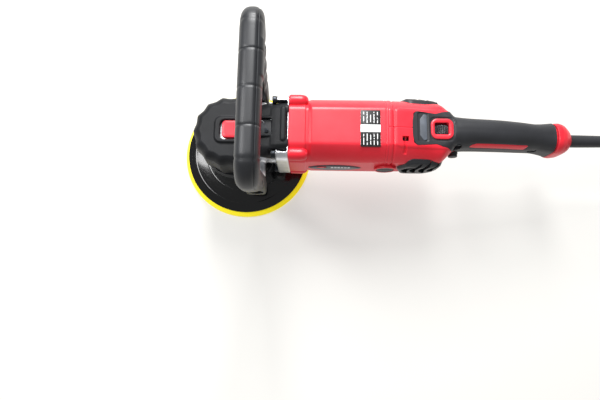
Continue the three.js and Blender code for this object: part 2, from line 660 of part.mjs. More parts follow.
function makeControls() {
  const ring = box(DIAL.x - DIAL.ringHalf, DIAL.x + DIAL.ringHalf, -DIAL.ringHalf, DIAL.ringHalf, 105.2, DIAL.ringTop);
  const window = box(DIAL.x - 7.3, DIAL.x + 7.3, -5.7, 5.7, 90, 120);
  add("dial_ring", "red_plastic", cut(ring, window));
  const wheel = rod("y", DIAL.radius, -DIAL.halfWidth, DIAL.halfWidth, DIAL.x, DIAL.z, 30);
  add("speed_dial", "black_plastic", wheel);
  add("control_board", "board_green", box(179, 213, -13, 13, 79, 80.6));
  const plunger = box(250, 256, -3, 3, 82.5, 86.2);
  add("trigger_switch", "black_plastic", join(box(238, 266, -7.5, 7.5, 86, 95.5), plunger));
  const outline = [
    [223.5, 71.5], [223.5, 78.5], [232, 79], [237, 77], [273, 76.5], [273.5, 70], [268, 62.5],
    [250, 60.5], [233, 62.5], [226, 68],
  ];
  add("trigger", "black_plastic", plateAcrossY(outline, -TRIGGER.halfWidth, TRIGGER.halfWidth));
  add("lock_on_button", "black_plastic", rod("y", BUTTON.radius, BUTTON.face, -11, BUTTON.x, BUTTON.z, SMALL));
}

// ---------------------------------------------------------------- tail, cord and plug

function makeTail() {
  const cap = loft([
    roundedRing(REAR.end, 72.6, 16.6, 19.4, 12.5),
    roundedRing(340, 72.8, 14.5, 16, 12),
    roundedRing(344.5, TAIL.z, 11.5, 12, 11.5),
    roundedRing(TAIL.end, TAIL.z, 8.5, 8.5, 8.5),
  ]);
  const bore = rod("x", 6.6, 330, 350, 0, TAIL.z);
  const pocket = rod("x", 9.4, 330, 338.6, 0, TAIL.z);
  add("tail_cap", "red_plastic", cut(cap, bore, pocket));
  const toTail = new THREE.Matrix4().makeRotationY(Math.PI / 2).setPosition(0, 0, TAIL.z);
  const guard = turned([
    [0, 334.4], [9, 334.4], [9, 338.3], [6.2, 338.3], [6.2, 352], [5.7, 356], [4.7, TAIL.guardEnd],
    [0, TAIL.guardEnd],
  ], 0, 0, 16);
  add("cord_guard", "black_rubber", guard.transform(toTail.elements));
}

// The lead runs out of the guard, sinks to the floor and meets the outermost turn of its coil.
const CORD_ROUTE = [
  [TAIL.guardEnd + 0.5, 0, TAIL.z],
  [402, 0, 73],
  [406, 0, 73],
  [415.1, 0.8, 71.8],
  [423.6, 2.6, 68.4],
  [430.9, 5.3, 63],
  [436.7, 8.6, 55.9],
  [440.4, 12.3, 47.5],
  [442, 16.2, 38.5],
  [443.1, 19.7, 30.7],
  [446, 23, 23.4],
  [450.3, 26, 16.9],
  [456, 28.8, 11.5],
  [462.7, 31, 7.4],
  [470.1, 32.8, 4.9],
  [474.6, 33.3, 4.2],
];

function tube(points, radius, steps) {
  const curve = new THREE.CatmullRomCurve3(points.map((p) => new THREE.Vector3(...p)), false, "centripetal");
  const section = new THREE.Shape();
  for (let i = 0; i <= 8; i += 1) {
    const angle = (i * Math.PI) / 4;
    const point = [radius * Math.cos(angle), radius * Math.sin(angle)];
    if (i === 0) section.moveTo(...point);
    else section.lineTo(...point);
  }
  return toSolid(new THREE.ExtrudeGeometry(section, { steps, bevelEnabled: false, extrudePath: curve }));
}

function makeCord() {
  add("power_cord", "black_rubber", tube(CORD_ROUTE, CORD.radius, 16));
  add("cord_coil", "black_rubber", turned([
    [CORD.coilInner, 0], [CORD.coilOuter, 0], [CORD.coilOuter, CORD.coilHeight],
    [CORD.coilInner, CORD.coilHeight],
  ], CORD.coilX, CORD.coilY, 32));
  const nose = loft([
    roundedRing(PLUG.x - 24, PLUG.z - 5, 5, 5, 5, 3),
    roundedRing(PLUG.x - 12, PLUG.z - 2, 6, 6, 6, 3),
    roundedRing(PLUG.x, PLUG.z, 8, 8, 7, 3),
    roundedRing(PLUG.x + 6, PLUG.z, 17, 12, 10, 3),
    roundedRing(PLUG.x + 30, PLUG.z, 18, 12, 11, 3),
  ]);
  add("plug_body", "black_rubber", nose.translate([0, PLUG.y, 0]));
  for (const [name, offset] of [["plug_pin_1", -9.5], ["plug_pin_2", 9.5]]) {
    add(name, "brass", rod("x", 2.4, PLUG.x + 30, PLUG.x + 49, PLUG.y + offset, PLUG.z, SMALL));
  }
}

// ---------------------------------------------------------------- assembly

makePad();
makeSpindle();
makeBevelGear();
makeBevelPinion();
makeGearHead();
makeBoot();
makeHandle();
makeMotorHousing();
makeMotor();
makeBrushes();
makeRearBody();
makeVentCovers();
makeControls();
makeTail();
makeCord();

export default polisher;
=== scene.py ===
"""Dual action polisher: the looks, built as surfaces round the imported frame.

Lengths inside the shape functions are in millimetres, and each piece's mesh is turned to metres
as it is made. +X runs from the pad to the lead, +Z up along the spindle, -Y is the user's left.
"""

import math

import bpy
import numpy as np
from bpy.props import FloatProperty, FloatVectorProperty, PointerProperty
from mathutils import Matrix, Vector


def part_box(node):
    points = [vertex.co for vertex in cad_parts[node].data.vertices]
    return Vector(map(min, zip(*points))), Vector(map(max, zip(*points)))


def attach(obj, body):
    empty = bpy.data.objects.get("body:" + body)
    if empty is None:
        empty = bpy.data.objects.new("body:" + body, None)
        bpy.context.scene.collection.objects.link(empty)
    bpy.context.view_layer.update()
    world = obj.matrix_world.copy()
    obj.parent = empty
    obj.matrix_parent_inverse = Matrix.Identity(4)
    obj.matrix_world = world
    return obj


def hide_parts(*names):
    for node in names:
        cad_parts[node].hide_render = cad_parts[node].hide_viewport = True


bl_info = {
    "name": "Dual Action Polisher",
    "version": (1, 0, 0),
    "blender": (4, 5, 0),
    "location": "View3D > Sidebar > Polisher",
    "description": "Builds a dual action polisher round its packed frame",
    "category": "Object",
}

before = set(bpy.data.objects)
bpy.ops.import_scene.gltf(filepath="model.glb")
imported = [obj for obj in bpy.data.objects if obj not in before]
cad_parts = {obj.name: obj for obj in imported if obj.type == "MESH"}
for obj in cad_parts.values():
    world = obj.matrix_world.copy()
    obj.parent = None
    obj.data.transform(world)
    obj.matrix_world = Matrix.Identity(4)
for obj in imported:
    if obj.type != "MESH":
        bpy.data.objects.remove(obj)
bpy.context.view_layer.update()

MM = 0.001
SPINDLE_X = -7.5
MOTOR_Z = 80.0
TAIL_Z = 73.0
GUARD_END = 398.0
# Axes that cross the tool, as (X, Z): the D-handle's bolts, the brush caps, the lock-on button.
HANDLE_AXIS = (19, 64.5)
BRUSH_AXIS = (151, MOTOR_Z)
LOCK_ON_AXIS = (220, MOTOR_Z)
# The speed dial's axis.
DIAL_X = 202.5
DIAL_Z = 95.4
# The gear head's flange screws stand this far to each side of the motor's axis.
SCREW_REACH = 27.5
# The rear body: how far its shells and its rubber reach in from its outer skin, and half the way
# round it as a share of its half-width plus its half-height.
SHELL_WALL = 5.0
RUBBER = 1.6
HALF_GIRTH = 2.1
# Each shell stops this far from the middle plane.
SEAM = 0.08


# ---------------------------------------------------------------- small mathematics


def to_linear(colour):
    """Turns an sRGB hex colour such as "#E8303F" to linear red, green, blue and alpha."""
    parts = np.array([int(colour[i : i + 2], 16) for i in (1, 3, 5)]) / 255
    linear = np.where(parts <= 0.04045, parts / 12.92, ((parts + 0.055) / 1.055) ** 2.4)
    return (*linear.tolist(), 1.0)


def eased(share):
    """The smooth step 3t^2 - 2t^3, held at 0 before 0 and at 1 after 1."""
    t = np.clip(share, 0, 1)
    return t * t * (3 - 2 * t)


def through(x, xs, ys):
    """A smooth curve through the points (xs, ys): cubic pieces whose slope at each point is the
    harmonic mean of the slopes beside it, so it never overshoots."""
    xs, ys = np.asarray(xs, float), np.asarray(ys, float)
    rise = np.diff(ys) / np.diff(xs)
    inner = np.where(rise[1:] * rise[:-1] > 0, 2 * rise[1:] * rise[:-1] / (rise[1:] + rise[:-1] + 1e-12), 0)
    slope = np.r_[rise[0], inner, rise[-1]]
    x = np.clip(np.asarray(x, float), xs[0], xs[-1])
    i = np.clip(np.searchsorted(xs, x, side="right") - 1, 0, len(xs) - 2)
    span = xs[i + 1] - xs[i]
    t = (x - xs[i]) / span
    return (
        ys[i] * (1 + 2 * t) * (1 - t) ** 2
        + ys[i + 1] * t * t * (3 - 2 * t)
        + slope[i] * span * t * (1 - t) ** 2
        - slope[i + 1] * span * t * t * (1 - t)
    )


def softened(profile, size, closed=False, steps=5):
    """Rounds the corners of a line of points: each corner becomes a parabola that starts and
    ends size away from it, or less on short sides."""
    p = np.asarray(profile, float)
    before, after = np.roll(p, 1, 0) - p, np.roll(p, -1, 0) - p
    long_before = np.linalg.norm(before, axis=1, keepdims=True) + 1e-9
    long_after = np.linalg.norm(after, axis=1, keepdims=True) + 1e-9
    size = np.reshape(np.broadcast_to(np.asarray(size, float), (len(p),)), (-1, 1))
    reach = np.minimum(size, 0.45 * np.minimum(long_before, long_after))
    a, b = (p + before / long_before * reach)[:, None], (p + after / long_after * reach)[:, None]
    t = np.linspace(0, 1, steps)[None, :, None]
    curve = (1 - t) ** 2 * a + 2 * t * (1 - t) * p[:, None] + t**2 * b
    if closed:
        return curve.reshape(-1, p.shape[1])
    return np.concatenate([p[:1], curve[1:-1].reshape(-1, p.shape[1]), p[-1:]])


def spread(outline, count):
    """The closed outline again, as count points at equal steps along it."""
    loop = np.vstack([outline, outline[:1]])
    far = np.r_[0, np.cumsum(np.linalg.norm(np.diff(loop, axis=0), axis=1))]
    at = np.linspace(0, far[-1], count, endpoint=False)
    return np.stack([np.interp(at, far, loop[:, k]) for k in range(loop.shape[1])], -1)


def rounded(half_width, half_height, corner, turn, chamfer=0.0):
    """A rounded rectangle as across and up, over rows of sizes and columns of turn (0 at the
    right, 0.25 at the top): straight sides joined by quarter arcs, each arc drawn in towards
    its own chord by the share chamfer."""
    hw, hh, k, m = (
        np.reshape(np.asarray(v, float), (-1, 1)) for v in (half_width, half_height, corner, chamfer)
    )
    turn = np.asarray(turn, float) % 1
    quarter = np.floor(turn * 4).astype(int) % 4
    share = turn * 4 % 1
    share = np.where(quarter % 2 == 0, share, 1 - share)
    rise, bend, run = np.clip(share / 0.3, 0, 1), np.clip((share - 0.3) / 0.4, 0, 1), np.clip(
        (share - 0.7) / 0.3, 0, 1
    )
    angle = bend * np.pi / 2
    x = hw - k + k * ((1 - m) * np.cos(angle) + m * (1 - bend)) - run * (hw - k)
    y = rise * (hh - k) + k * ((1 - m) * np.sin(angle) + m * bend)
    return x * np.where((quarter == 0) | (quarter == 3), 1, -1), y * np.where(quarter < 2, 1, -1)


def in_rounded_box(u, v, half_u, half_v, corner):
    """How far inside a rounded rectangle the point (u, v) lies: positive inside, in millimetres."""
    du, dv = np.abs(u) - half_u + corner, np.abs(v) - half_v + corner
    return corner - np.hypot(np.maximum(du, 0), np.maximum(dv, 0)) - np.minimum(np.maximum(du, dv), 0)


# ---------------------------------------------------------------- closed shapes: (points, faces)


def quads(rows, columns, wrap_rows, wrap_columns):
    """The four-sided faces of a grid of points, row by row."""
    r = np.arange(rows if wrap_rows else rows - 1)
    c = np.arange(columns if wrap_columns else columns - 1)
    r, c = (g.ravel() for g in np.meshgrid(r, c, indexing="ij"))
    down, across = (r + 1) % rows, (c + 1) % columns
    return np.stack([r * columns + c, r * columns + across, down * columns + across, down * columns + c], -1)


def loft(rings, hollow=False):
    """A closed body through rings of points: its ends are flat faces, or, if hollow, the last
    ring joins the first as in a tyre."""
    rings = np.asarray(rings, float)
    rows, columns = rings.shape[:2]
    faces = quads(rows, columns, hollow, True).tolist()
    if not hollow:
        faces += [list(range(columns))[::-1], list(range((rows - 1) * columns, rows * columns))]
    return rings.reshape(-1, 3), faces


def wall(outer, inner, closed=False):
    """A wall between two grids of points of one shape: both faces and every open edge."""
    rings = np.concatenate([outer, inner[::-1]], 0)
    rows, columns = rings.shape[:2]
    half = outer.shape[0]
    faces = quads(rows, columns, True, closed).tolist()
    if not closed:
        i = np.arange(half - 1)
        far = rows - 1 - i
        for c, flip in ((0, 1), (columns - 1, -1)):
            side = np.stack(
                [i * columns + c, (i + 1) * columns + c, (far - 1) * columns + c, far * columns + c], -1
            )
            faces += side[:, ::flip].tolist()
    return rings.reshape(-1, 3), faces


def turned(profile, axis="z", at=(0, 0), sides=96, soft=0.6):
    """A body of revolution: the profile of (radius, distance along the axis), its corners
    softened, carried round the axis. It is solid if it starts and ends at radius 0."""
    profile = np.asarray(profile, float)
    solid = profile[0, 0] == 0 and profile[-1, 0] == 0
    profile = softened(profile, soft, closed=not solid)
    if solid:
        profile = profile[1:-1]
    angle = np.linspace(0, 2 * np.pi, sides, endpoint=False)
    u, v = profile[:, :1] * np.cos(angle) + at[0], profile[:, :1] * np.sin(angle) + at[1]
    w = np.broadcast_to(profile[:, 1:], u.shape)
    order = {"x": (w, u, v), "y": (u, w, v), "z": (u, v, w)}[axis]
    return loft(np.stack(order, -1), hollow=not solid)


def rod(radius, low, high, axis="z", at=(0, 0), sides=96, soft=0.6):
    """A plain round bar from low to high along an axis, its rims softened."""
    return turned([(0, low), (radius, low), (radius, high), (0, high)], axis, at, sides, soft)


def prism(outline, low, high, edge=0.6, axis="z"):
    """An outline carried from low to high along an axis, drawn in along its own normals where
    the two ends are rounded over by edge. The outline is (x, y), (x, z) or (y, z)."""
    outline = np.asarray(outline, float)
    ahead, behind = np.roll(outline, -1, 0), np.roll(outline, 1, 0)
    area = np.sum(outline[:, 0] * ahead[:, 1] - ahead[:, 0] * outline[:, 1])
    along = ahead - behind
    normal = np.stack([along[:, 1], -along[:, 0]], -1) * np.sign(area)
    normal /= np.linalg.norm(normal, axis=1, keepdims=True) + 1e-9
    bend = np.linspace(0, np.pi / 2, 5)
    inset = edge * (1 - np.sin(bend))
    rise = edge * (1 - np.cos(bend))
    inset, height = np.r_[inset, inset[::-1]], np.r_[low + rise, high - rise[::-1]]
    flat = outline[None] - normal[None] * inset[:, None, None]
    w = np.broadcast_to(height[:, None], flat.shape[:2])
    u, v = flat[..., 0], flat[..., 1]
    order = {"x": (w, u, v), "y": (u, w, v), "z": (u, v, w)}[axis]
    return loft(np.stack(order, -1))


def block(x0, x1, y0, y1, z0, z1, corner=1.5, edge=0.6, axis="z"):
    """A box with rounded corners seen along its axis, and rounded edges at that axis's ends."""
    spans = {
        "x": (y0, y1, z0, z1, x0, x1), "y": (x0, x1, z0, z1, y0, y1), "z": (x0, x1, y0, y1, z0, z1)
    }[axis]
    u, v = rounded((spans[1] - spans[0]) / 2, (spans[3] - spans[2]) / 2, corner, np.arange(64) / 64)
    ring = np.stack([u[0] + (spans[0] + spans[1]) / 2, v[0] + (spans[2] + spans[3]) / 2], -1)
    return prism(ring, spans[4], spans[5], edge, axis)


def along_x(x, y, z):
    """Outlines (y, z), one row of points for each distance x, as a grid of points."""
    return np.stack([np.broadcast_to(np.reshape(x, (-1, 1)), y.shape), y, z], -1)


def hexagon(radius, low, high, axis, at):
    """A six-sided bar from low to high along X or Y: its corners lie on a circle."""
    corner = np.arange(6) * np.pi / 3
    u = np.broadcast_to(at[0] + radius * np.cos(corner), (2, 6))
    v = np.broadcast_to(at[1] + radius * np.sin(corner), (2, 6))
    w = np.broadcast_to([[low], [high]], (2, 6))
    return loft(np.stack((w, u, v) if axis == "x" else (u, w, v), -1))


def mirrored(shape):
    """The same shape on the other side of the tool's middle plane."""
    return shape[0] * [1, -1, 1], shape[1]


def outward(shape):
    """The shape with its faces turned outwards: its signed volume, the sum of the corner triple
    products of its faces, is made positive."""
    points, faces = shape
    volume = 0.0
    for size in {len(f) for f in faces}:
        corners = points[np.array([f for f in faces if len(f) == size])]
        fan = np.cross(corners[:, 1:-1], corners[:, 2:])
        volume += np.einsum("fk,fnk->", corners[:, 0], fan)
    return shape if volume > 0 else (points, [f[::-1] for f in faces])


def pushed(grid, distance, closed=False):
    """The grid moved along its own normals, which are the cross product of its two directions
    of travel, pointing away from the middle of each row."""
    along = np.gradient(grid, axis=0)
    around = np.roll(grid, -1, 1) - np.roll(grid, 1, 1) if closed else np.gradient(grid, axis=1)
    normal = np.cross(around, along)
    normal /= np.linalg.norm(normal, axis=-1, keepdims=True) + 1e-9
    outside = np.sum(normal * (grid - [0, 0, 1] * grid.mean(axis=(0, 1)) - [1, 0, 0] * grid), axis=-1)
    return grid + normal * np.where(outside.sum() > 0, 1, -1) * np.reshape(distance, (*np.shape(distance), 1))


def calmed(grid, times, closed=True):
    """Softens creases along each row: every point moves halfway to the middle of its neighbours."""
    for _ in range(times):
        if closed:
            grid = grid / 2 + (np.roll(grid, 1, 1) + np.roll(grid, -1, 1)) / 4
        else:
            grid = np.concatenate(
                [grid[:, :1], grid[:, 1:-1] / 2 + (grid[:, 2:] + grid[:, :-2]) / 4, grid[:, -1:]], 1
            )
    return grid


# ---------------------------------------------------------------- pieces


def raw(name, shapes):
    """One object from closed shapes, in metres, its faces outwards."""
    points, faces, start = [], [], 0
    for shape in shapes:
        p, f = outward(shape)
        points.append(p)
        faces += [[i + start for i in face] for face in f]
        start += len(p)
    mesh = bpy.data.meshes.new(name)
    mesh.from_pydata((np.concatenate(points) * MM).tolist(), [], faces)
    mesh.validate()
    obj = bpy.data.objects.new(name, mesh)
    bpy.context.scene.collection.objects.link(obj)
    return obj


def settle(obj):
    """Puts the result of the object's modifiers into its mesh."""
    bpy.context.view_layer.update()
    made = bpy.data.meshes.new_from_object(obj.evaluated_get(bpy.context.evaluated_depsgraph_get()))
    old = obj.data
    obj.modifiers.clear()
    obj.data = made
    bpy.data.meshes.remove(old)


def combined(name, adds, cuts=(), voxel=0.0, calm=0):
    """Closed shapes joined, then cut. With a voxel size, the result is remeshed at that size and
    relaxed, which rounds its inside and outside corners as a casting's or moulding's are."""
    obj = raw(name, adds[:1])
    for operation, shapes in (("UNION", adds[1:]), ("DIFFERENCE", cuts)):
        for shape in shapes:
            tool = raw("tool", [shape])
            step = obj.modifiers.new("step", "BOOLEAN")
            step.operation, step.solver, step.object = operation, "MANIFOLD", tool
            settle(obj)
            spent = tool.data
            bpy.data.objects.remove(tool)
            bpy.data.meshes.remove(spent)
    if voxel:
        remesh = obj.modifiers.new("remesh", "REMESH")
        remesh.mode, remesh.voxel_size = "VOXEL", voxel * MM
        relax = obj.modifiers.new("relax", "SMOOTH")
        relax.factor, relax.iterations = 0.5, calm
        settle(obj)
    if not len(obj.data.polygons):
        raise RuntimeError(f"{name} came out empty")
    return obj


def place(obj, body, material, stands_for=(), sharp=32):
    """Gives a piece its finish, smooth shading with creases past an angle, and body."""
    obj.data.materials.clear()
    obj.data.materials.append(finishes()[material])
    obj.data.shade_smooth()
    obj.data.set_sharp_from_angle(angle=math.radians(sharp))
    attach(obj, body)
    if stands_for:
        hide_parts(*stands_for)
    return obj


# ---------------------------------------------------------------- finishes


def add(tree, kind, inputs=None, **settings):
    """Adds one node: settings are its own, and an input is a value or another node's output."""
    node = tree.nodes.new(kind)
    for key, value in settings.items():
        setattr(node, key, value)
    for socket, value in (inputs or {}).items():
        if isinstance(value, bpy.types.NodeSocket):
            tree.links.new(value, node.inputs[socket])
        else:
            node.inputs[socket].default_value = value
    return node


def mixed(tree, share, first, second):
    """The colour part-way from first to second; the mixing node's colour sockets share their
    names with its number sockets, so they are given by place."""
    return add(tree, "ShaderNodeMix", {0: share, 6: first, 7: second}, data_type="RGBA").outputs[2]


def opened(name):
    """A new material with an empty tree, its tree, and the object's own coordinates."""
    made = bpy.data.materials.new(name)
    made.use_nodes = True
    made.node_tree.nodes.clear()
    return made, made.node_tree, add(made.node_tree, "ShaderNodeTexCoord").outputs["Object"]


def noise(tree, where, size, detail):
    """Noise whose patches are size millimetres across."""
    return add(
        tree, "ShaderNodeTexNoise", {"Vector": where, "Scale": 1000 / size, "Detail": detail}
    ).outputs["Fac"]


def ranged(tree, value, low, high, least=0.0, most=1.0):
    """The value's stretch from low to high turned to least up to most, and held there."""
    inputs = {"Value": value, "From Min": low, "From Max": high, "To Min": least, "To Max": most}
    return add(tree, "ShaderNodeMapRange", inputs).outputs["Result"]


def raised(tree, height, depth):
    """A bump depth millimetres high."""
    inputs = {"Height": height, "Strength": 1.0, "Distance": depth * MM}
    return add(tree, "ShaderNodeBump", inputs).outputs["Normal"]


def shaded(tree, inputs):
    """The one surface shader, joined to the material's output."""
    body = add(tree, "ShaderNodeBsdfPrincipled", inputs).outputs["BSDF"]
    add(tree, "ShaderNodeOutputMaterial", {"Surface": body})


# The middle stretch of a noise's values, which carries almost all of its area.
NOISE_LOW, NOISE_HIGH = 0.3, 0.7
# Pointiness from the first to the second is a convex edge, lightened up to EDGE_SHARE as a painted highlight.
EDGE_STARTS, EDGE_FULL, EDGE_SHARE = 0.53, 0.62, 0.6


def finish(name, colours, roughness, mottle, grain, depth, stretch=(1, 1, 1), edge=None, **shader):
    """One material. colours is a dark and a light hex between which patches mottle mm across
    wander; roughness is its least and most; grain is the size of its surface grain in mm and depth
    its height in mm; stretch draws the grain out along an axis; edge is the lighter hex of the
    painted highlight on convex edges; shader is whatever else the surface shader needs."""
    made, tree, where = opened(name)
    drawn = add(tree, "ShaderNodeMapping", {"Vector": where, "Scale": stretch}).outputs["Vector"]
    patches = noise(tree, where, mottle, 4.0)
    fine = noise(tree, drawn, grain, 2.0)
    tone = ranged(tree, patches, NOISE_LOW, NOISE_HIGH)
    colour = mixed(tree, tone, to_linear(colours[0]), to_linear(colours[1]))
    # Painted highlight: convex edges are lightened towards the edge colour.
    if edge:
        highlight_pointiness = add(tree, "ShaderNodeNewGeometry").outputs["Pointiness"]
        share = ranged(tree, highlight_pointiness, EDGE_STARTS, EDGE_FULL, 0.0, EDGE_SHARE)
        colour = mixed(tree, share, colour, to_linear(edge))
    rough = ranged(tree, fine, NOISE_LOW, NOISE_HIGH, *roughness)
    shaded(tree, {"Base Color": colour, "Roughness": rough, "Normal": raised(tree, fine, depth), **shader})
    return made


def striped(name, ground, ink, middle, half_band, bars, bar, reach):
    """A printed plate, all worked out from the distance along X and Y in millimetres: on a ground
    colour, one plain band half_band to each side of middle, and beside it, out to reach, plain
    fine bars, bar wide and bars apart, broken up as print is once it wears."""
    made, tree, where = opened(name)
    split = add(tree, "ShaderNodeSeparateXYZ", {"Vector": where}).outputs

    def math_node(operation, a, b=0.0):
        return add(tree, "ShaderNodeMath", {0: a, 1: b}, operation=operation).outputs["Value"]

    gap = 1.6
    across = math_node("ABSOLUTE", math_node("SUBTRACT", split["Y"], middle * MM))
    band = math_node("LESS_THAN", across, half_band * MM)
    repeat = math_node("FRACT", math_node("MULTIPLY", split["X"], 1000 / bars))
    ink_bar = math_node("LESS_THAN", repeat, bar / bars)
    beyond = math_node("GREATER_THAN", across, (half_band + gap) * MM)
    in_reach = math_node("MULTIPLY", beyond, math_node("LESS_THAN", across, reach * MM))
    broken = math_node("GREATER_THAN", noise(tree, where, 1000 / 420, 0.0), 0.42)
    print_bars = math_node("MULTIPLY", math_node("MULTIPLY", ink_bar, in_reach), broken)
    face = mixed(tree, math_node("MAXIMUM", band, print_bars), to_linear(ground), to_linear(ink))
    film = raised(tree, noise(tree, where, 1000 / 900, 2.0), 0.01)
    shaded(tree, {"Base Color": face, "Roughness": 0.32, "Normal": film, "IOR": 1.5})
    return made


# The names of three shader sockets that several finishes set.
LEVEL, GLOW, GLOW_COLOUR = "Specular IOR Level", "Emission Strength", "Emission Color"

# Each finish: its material's name; its dark and light colours; its least and most roughness; the
# size of its patches, the size of its grain and the grain's depth, in mm; and what else it needs.
# "body" and "foam" stand for the colours set in the panel.
FINISHES = {
    # Glass-filled nylon, moulded in red against a fine spark-eroded tool: satin, with a soft broad
    # highlight and a grain of half a millimetre drawn a little coarse so that it shows.
    # Its edges are lightened pink: a painted highlight.
    "red nylon": ("moulded_red_nylon", ("body", "#E2303F"), (0.3, 0.42), (40, 0.55, 0.012),
                  {"edge": "#F4566A", LEVEL: 0.38, "IOR": 1.53}),
    # The same nylon in black: greyer on its edges, a painted highlight where they catch the light.
    "black nylon": ("moulded_black_nylon", ("#1B1C1F", "#24262A"), (0.36, 0.5), (25, 0.5, 0.015),
                    {"edge": "#4A4D53", LEVEL: 0.4, "IOR": 1.53}),
    # Thermoplastic rubber moulded over the head: matt and nearly black, with a fine leathery grain and a
    # painted grey highlight on its edges.
    "boot rubber": ("moulded_tpe_boot", ("#131416", "#1B1C1F"), (0.42, 0.6), (18, 0.7, 0.02),
                    {"edge": "#3C3E43", LEVEL: 0.22, "IOR": 1.49}),
    # Softer rubber of the grip: a soft grey bloom on its crown, and a painted grey highlight on its edges.
    "grip rubber": ("moulded_tpe_grip", ("#232427", "#2B2C30"), (0.44, 0.58), (22, 0.6, 0.02),
                    {"edge": "#505359", LEVEL: 0.4, "IOR": 1.49}),
    # The same rubber coloured slate, in the panel ahead of the dial, with a painted pale highlight on its
    # edges.
    "slate rubber": ("moulded_slate_insert", ("#454A52", "#525862"), (0.4, 0.55), (8, 0.5, 0.02),
                     {"edge": "#7D838D", "IOR": 1.5}),
    # ABS moulded against a polished tool: almost black, with a smooth face that mirrors the lights.
    "gloss plate": ("gloss_moulded_abs", ("#050607", "#08090B"), (0.08, 0.16), (30, 1.2, 0.001),
                    {LEVEL: 0.4, "IOR": 1.54}),
    # The same, less polished, on the dial's wheel, where thumbs dull it; its edges carry a painted grey
    # highlight.
    "gloss knob": ("polished_moulded_knob", ("#17181B", "#222429"), (0.16, 0.28), (6, 0.5, 0.006),
                   {"edge": "#5A5E66", "IOR": 1.53}),
    # Open-cell polyurethane foam, with cells about a millimetre across and no shine. A weak glow in
    # its own yellow is painted light, which keeps it bright where it falls in shade.
    "foam": ("open_cell_foam", ("foam", "#FFE600"), (0.85, 1.0), (6, 0.9, 0.25),
             {"IOR": 1.45, GLOW_COLOUR: (1.0, 0.88, 0.0, 1.0), GLOW: 0.3,
              "Sheen Weight": 0.2, "Sheen Roughness": 0.6}),
    # Hook-and-loop layer between foam and plate: dull and dark, tinted faintly yellow as painted bounce light
    # from the foam.
    "hook layer": ("woven_hook_layer", ("#15130A", "#2A2614"), (0.8, 1.0), (3, 0.6, 0.2),
                   {"IOR": 1.5, "Sheen Weight": 0.3}),
    # Die-cast aluminium, tumbled: bright, slightly pebbled.
    "cast aluminium": ("tumbled_cast_aluminium", ("#D2D4D8", "#ECEDF0"), (0.28, 0.42), (10, 0.8, 0.02),
                       {"Metallic": 1.0}),
    # Ground steel: a cool grey with its grinding lines drawn out along Z.
    "ground steel": ("ground_steel", ("#A9ACB1", "#C6C8CC"), (0.22, 0.36), (9, 0.35, 0.01),
                     {"stretch": (1, 1, 8), "Metallic": 1.0}),
    # Stacked steel sheets: darker, with the sheets' edges as lines across X.
    "lamination steel": ("stacked_lamination_steel", ("#6F7378", "#8B8F95"), (0.34, 0.5), (8, 0.5, 0.05),
                         {"stretch": (8, 1, 1), "Metallic": 1.0}),
    # Steel blackened in an oxide bath: nearly black, with a painted bright highlight on its edges.
    "oxide steel": ("black_oxide_steel", ("#2A2C30", "#3B3E43"), (0.3, 0.45), (5, 0.4, 0.01),
                    {"edge": "#8A8D92", "Metallic": 1.0}),
    # Enamelled copper wire, wound: warm, with the windings as fine ridges.
    "copper": ("enamelled_copper_windings", ("#8E4A22", "#C4743A"), (0.25, 0.4), (4, 0.8, 0.15),
               {"stretch": (1, 6, 6), "Metallic": 1.0}),
    # Drawn brass, a little tarnished.
    "brass": ("drawn_brass", ("#B08A3C", "#D2AE5C"), (0.24, 0.36), (7, 0.4, 0.01), {"Metallic": 1.0}),
    # Pressed carbon: matt and sooty.
    "carbon": ("pressed_carbon", ("#17181A", "#262729"), (0.55, 0.75), (3, 0.3, 0.03), {"IOR": 1.6}),
    # A glass-fibre circuit board under green lacquer.
    "board": ("lacquered_circuit_board", ("#0F5B36", "#1A7447"), (0.2, 0.35), (3, 0.6, 0.02), {"IOR": 1.55}),
    # Rubber-sheathed mains lead: dull black with a faint talc bloom.
    "cord": ("rubber_cord_sheath", ("#17181A", "#222326"), (0.5, 0.65), (20, 0.8, 0.02), {"IOR": 1.5}),
    # Woven strap: dull, with a coarse weave.
    "strap": ("woven_hook_strap", ("#101113", "#1E1F22"), (0.75, 0.95), (4, 0.7, 0.1), {"IOR": 1.5}),
    # Anodised foil badge: dark grey, brushed along X.
    "badge": ("anodised_badge", ("#3D4046", "#4C5057"), (0.3, 0.4), (6, 0.4, 0.01),
              {"stretch": (6, 1, 1), "Metallic": 0.6}),
    # Screen-printed ink, off-white.
    "white print": ("white_screen_print", ("#DADCDF", "#EDEEF0"), (0.4, 0.5), (5, 0.5, 0.005), {"IOR": 1.5}),
}  # fmt: skip

_made = {}


def finishes():
    """Every material, made once."""
    if not _made:
        settings = bpy.context.scene.polisher
        chosen = {"body": settings.body_colour, "foam": settings.foam_colour}
        hexes = {
            key: "#" + "".join(f"{round(c * 255):02X}" for c in colour) for key, colour in chosen.items()
        }
        for key, (name, colours, roughness, sizes, more) in FINISHES.items():
            _made[key] = finish(name, [hexes.get(c, c) for c in colours], roughness, *sizes, **more)
        # The rating plate: black, with a plain white band and plain bars for its small print.
        _made["label"] = striped("printed_rating_label", "#0B0B0C", "#F2F3F4", -2.2, 3.7, 3.3, 0.8, 16.5)
    return _made


# ---------------------------------------------------------------- stage and lead


def turn_frame(azimuth, elevation, roll):
    """The camera's right, up and back directions for an azimuth, elevation and roll in degrees."""
    a, e, r = np.radians([azimuth, elevation, roll])
    back = np.array([math.sin(a) * math.cos(e), -math.cos(a) * math.cos(e), math.sin(e)])
    right = np.array([math.cos(a), math.sin(a), 0])
    up = np.cross(back, right)
    return math.cos(r) * right + math.sin(r) * up, -math.sin(r) * right + math.cos(r) * up, back


# The camera: azimuth, elevation and roll in degrees, the point it looks at and its distance in m.
CAMERA_TURN = (7.9, 80.2, -6.9)
CAMERA_AIM = (0.0634, -0.0535, 0)
CAMERA_DISTANCE = 0.539

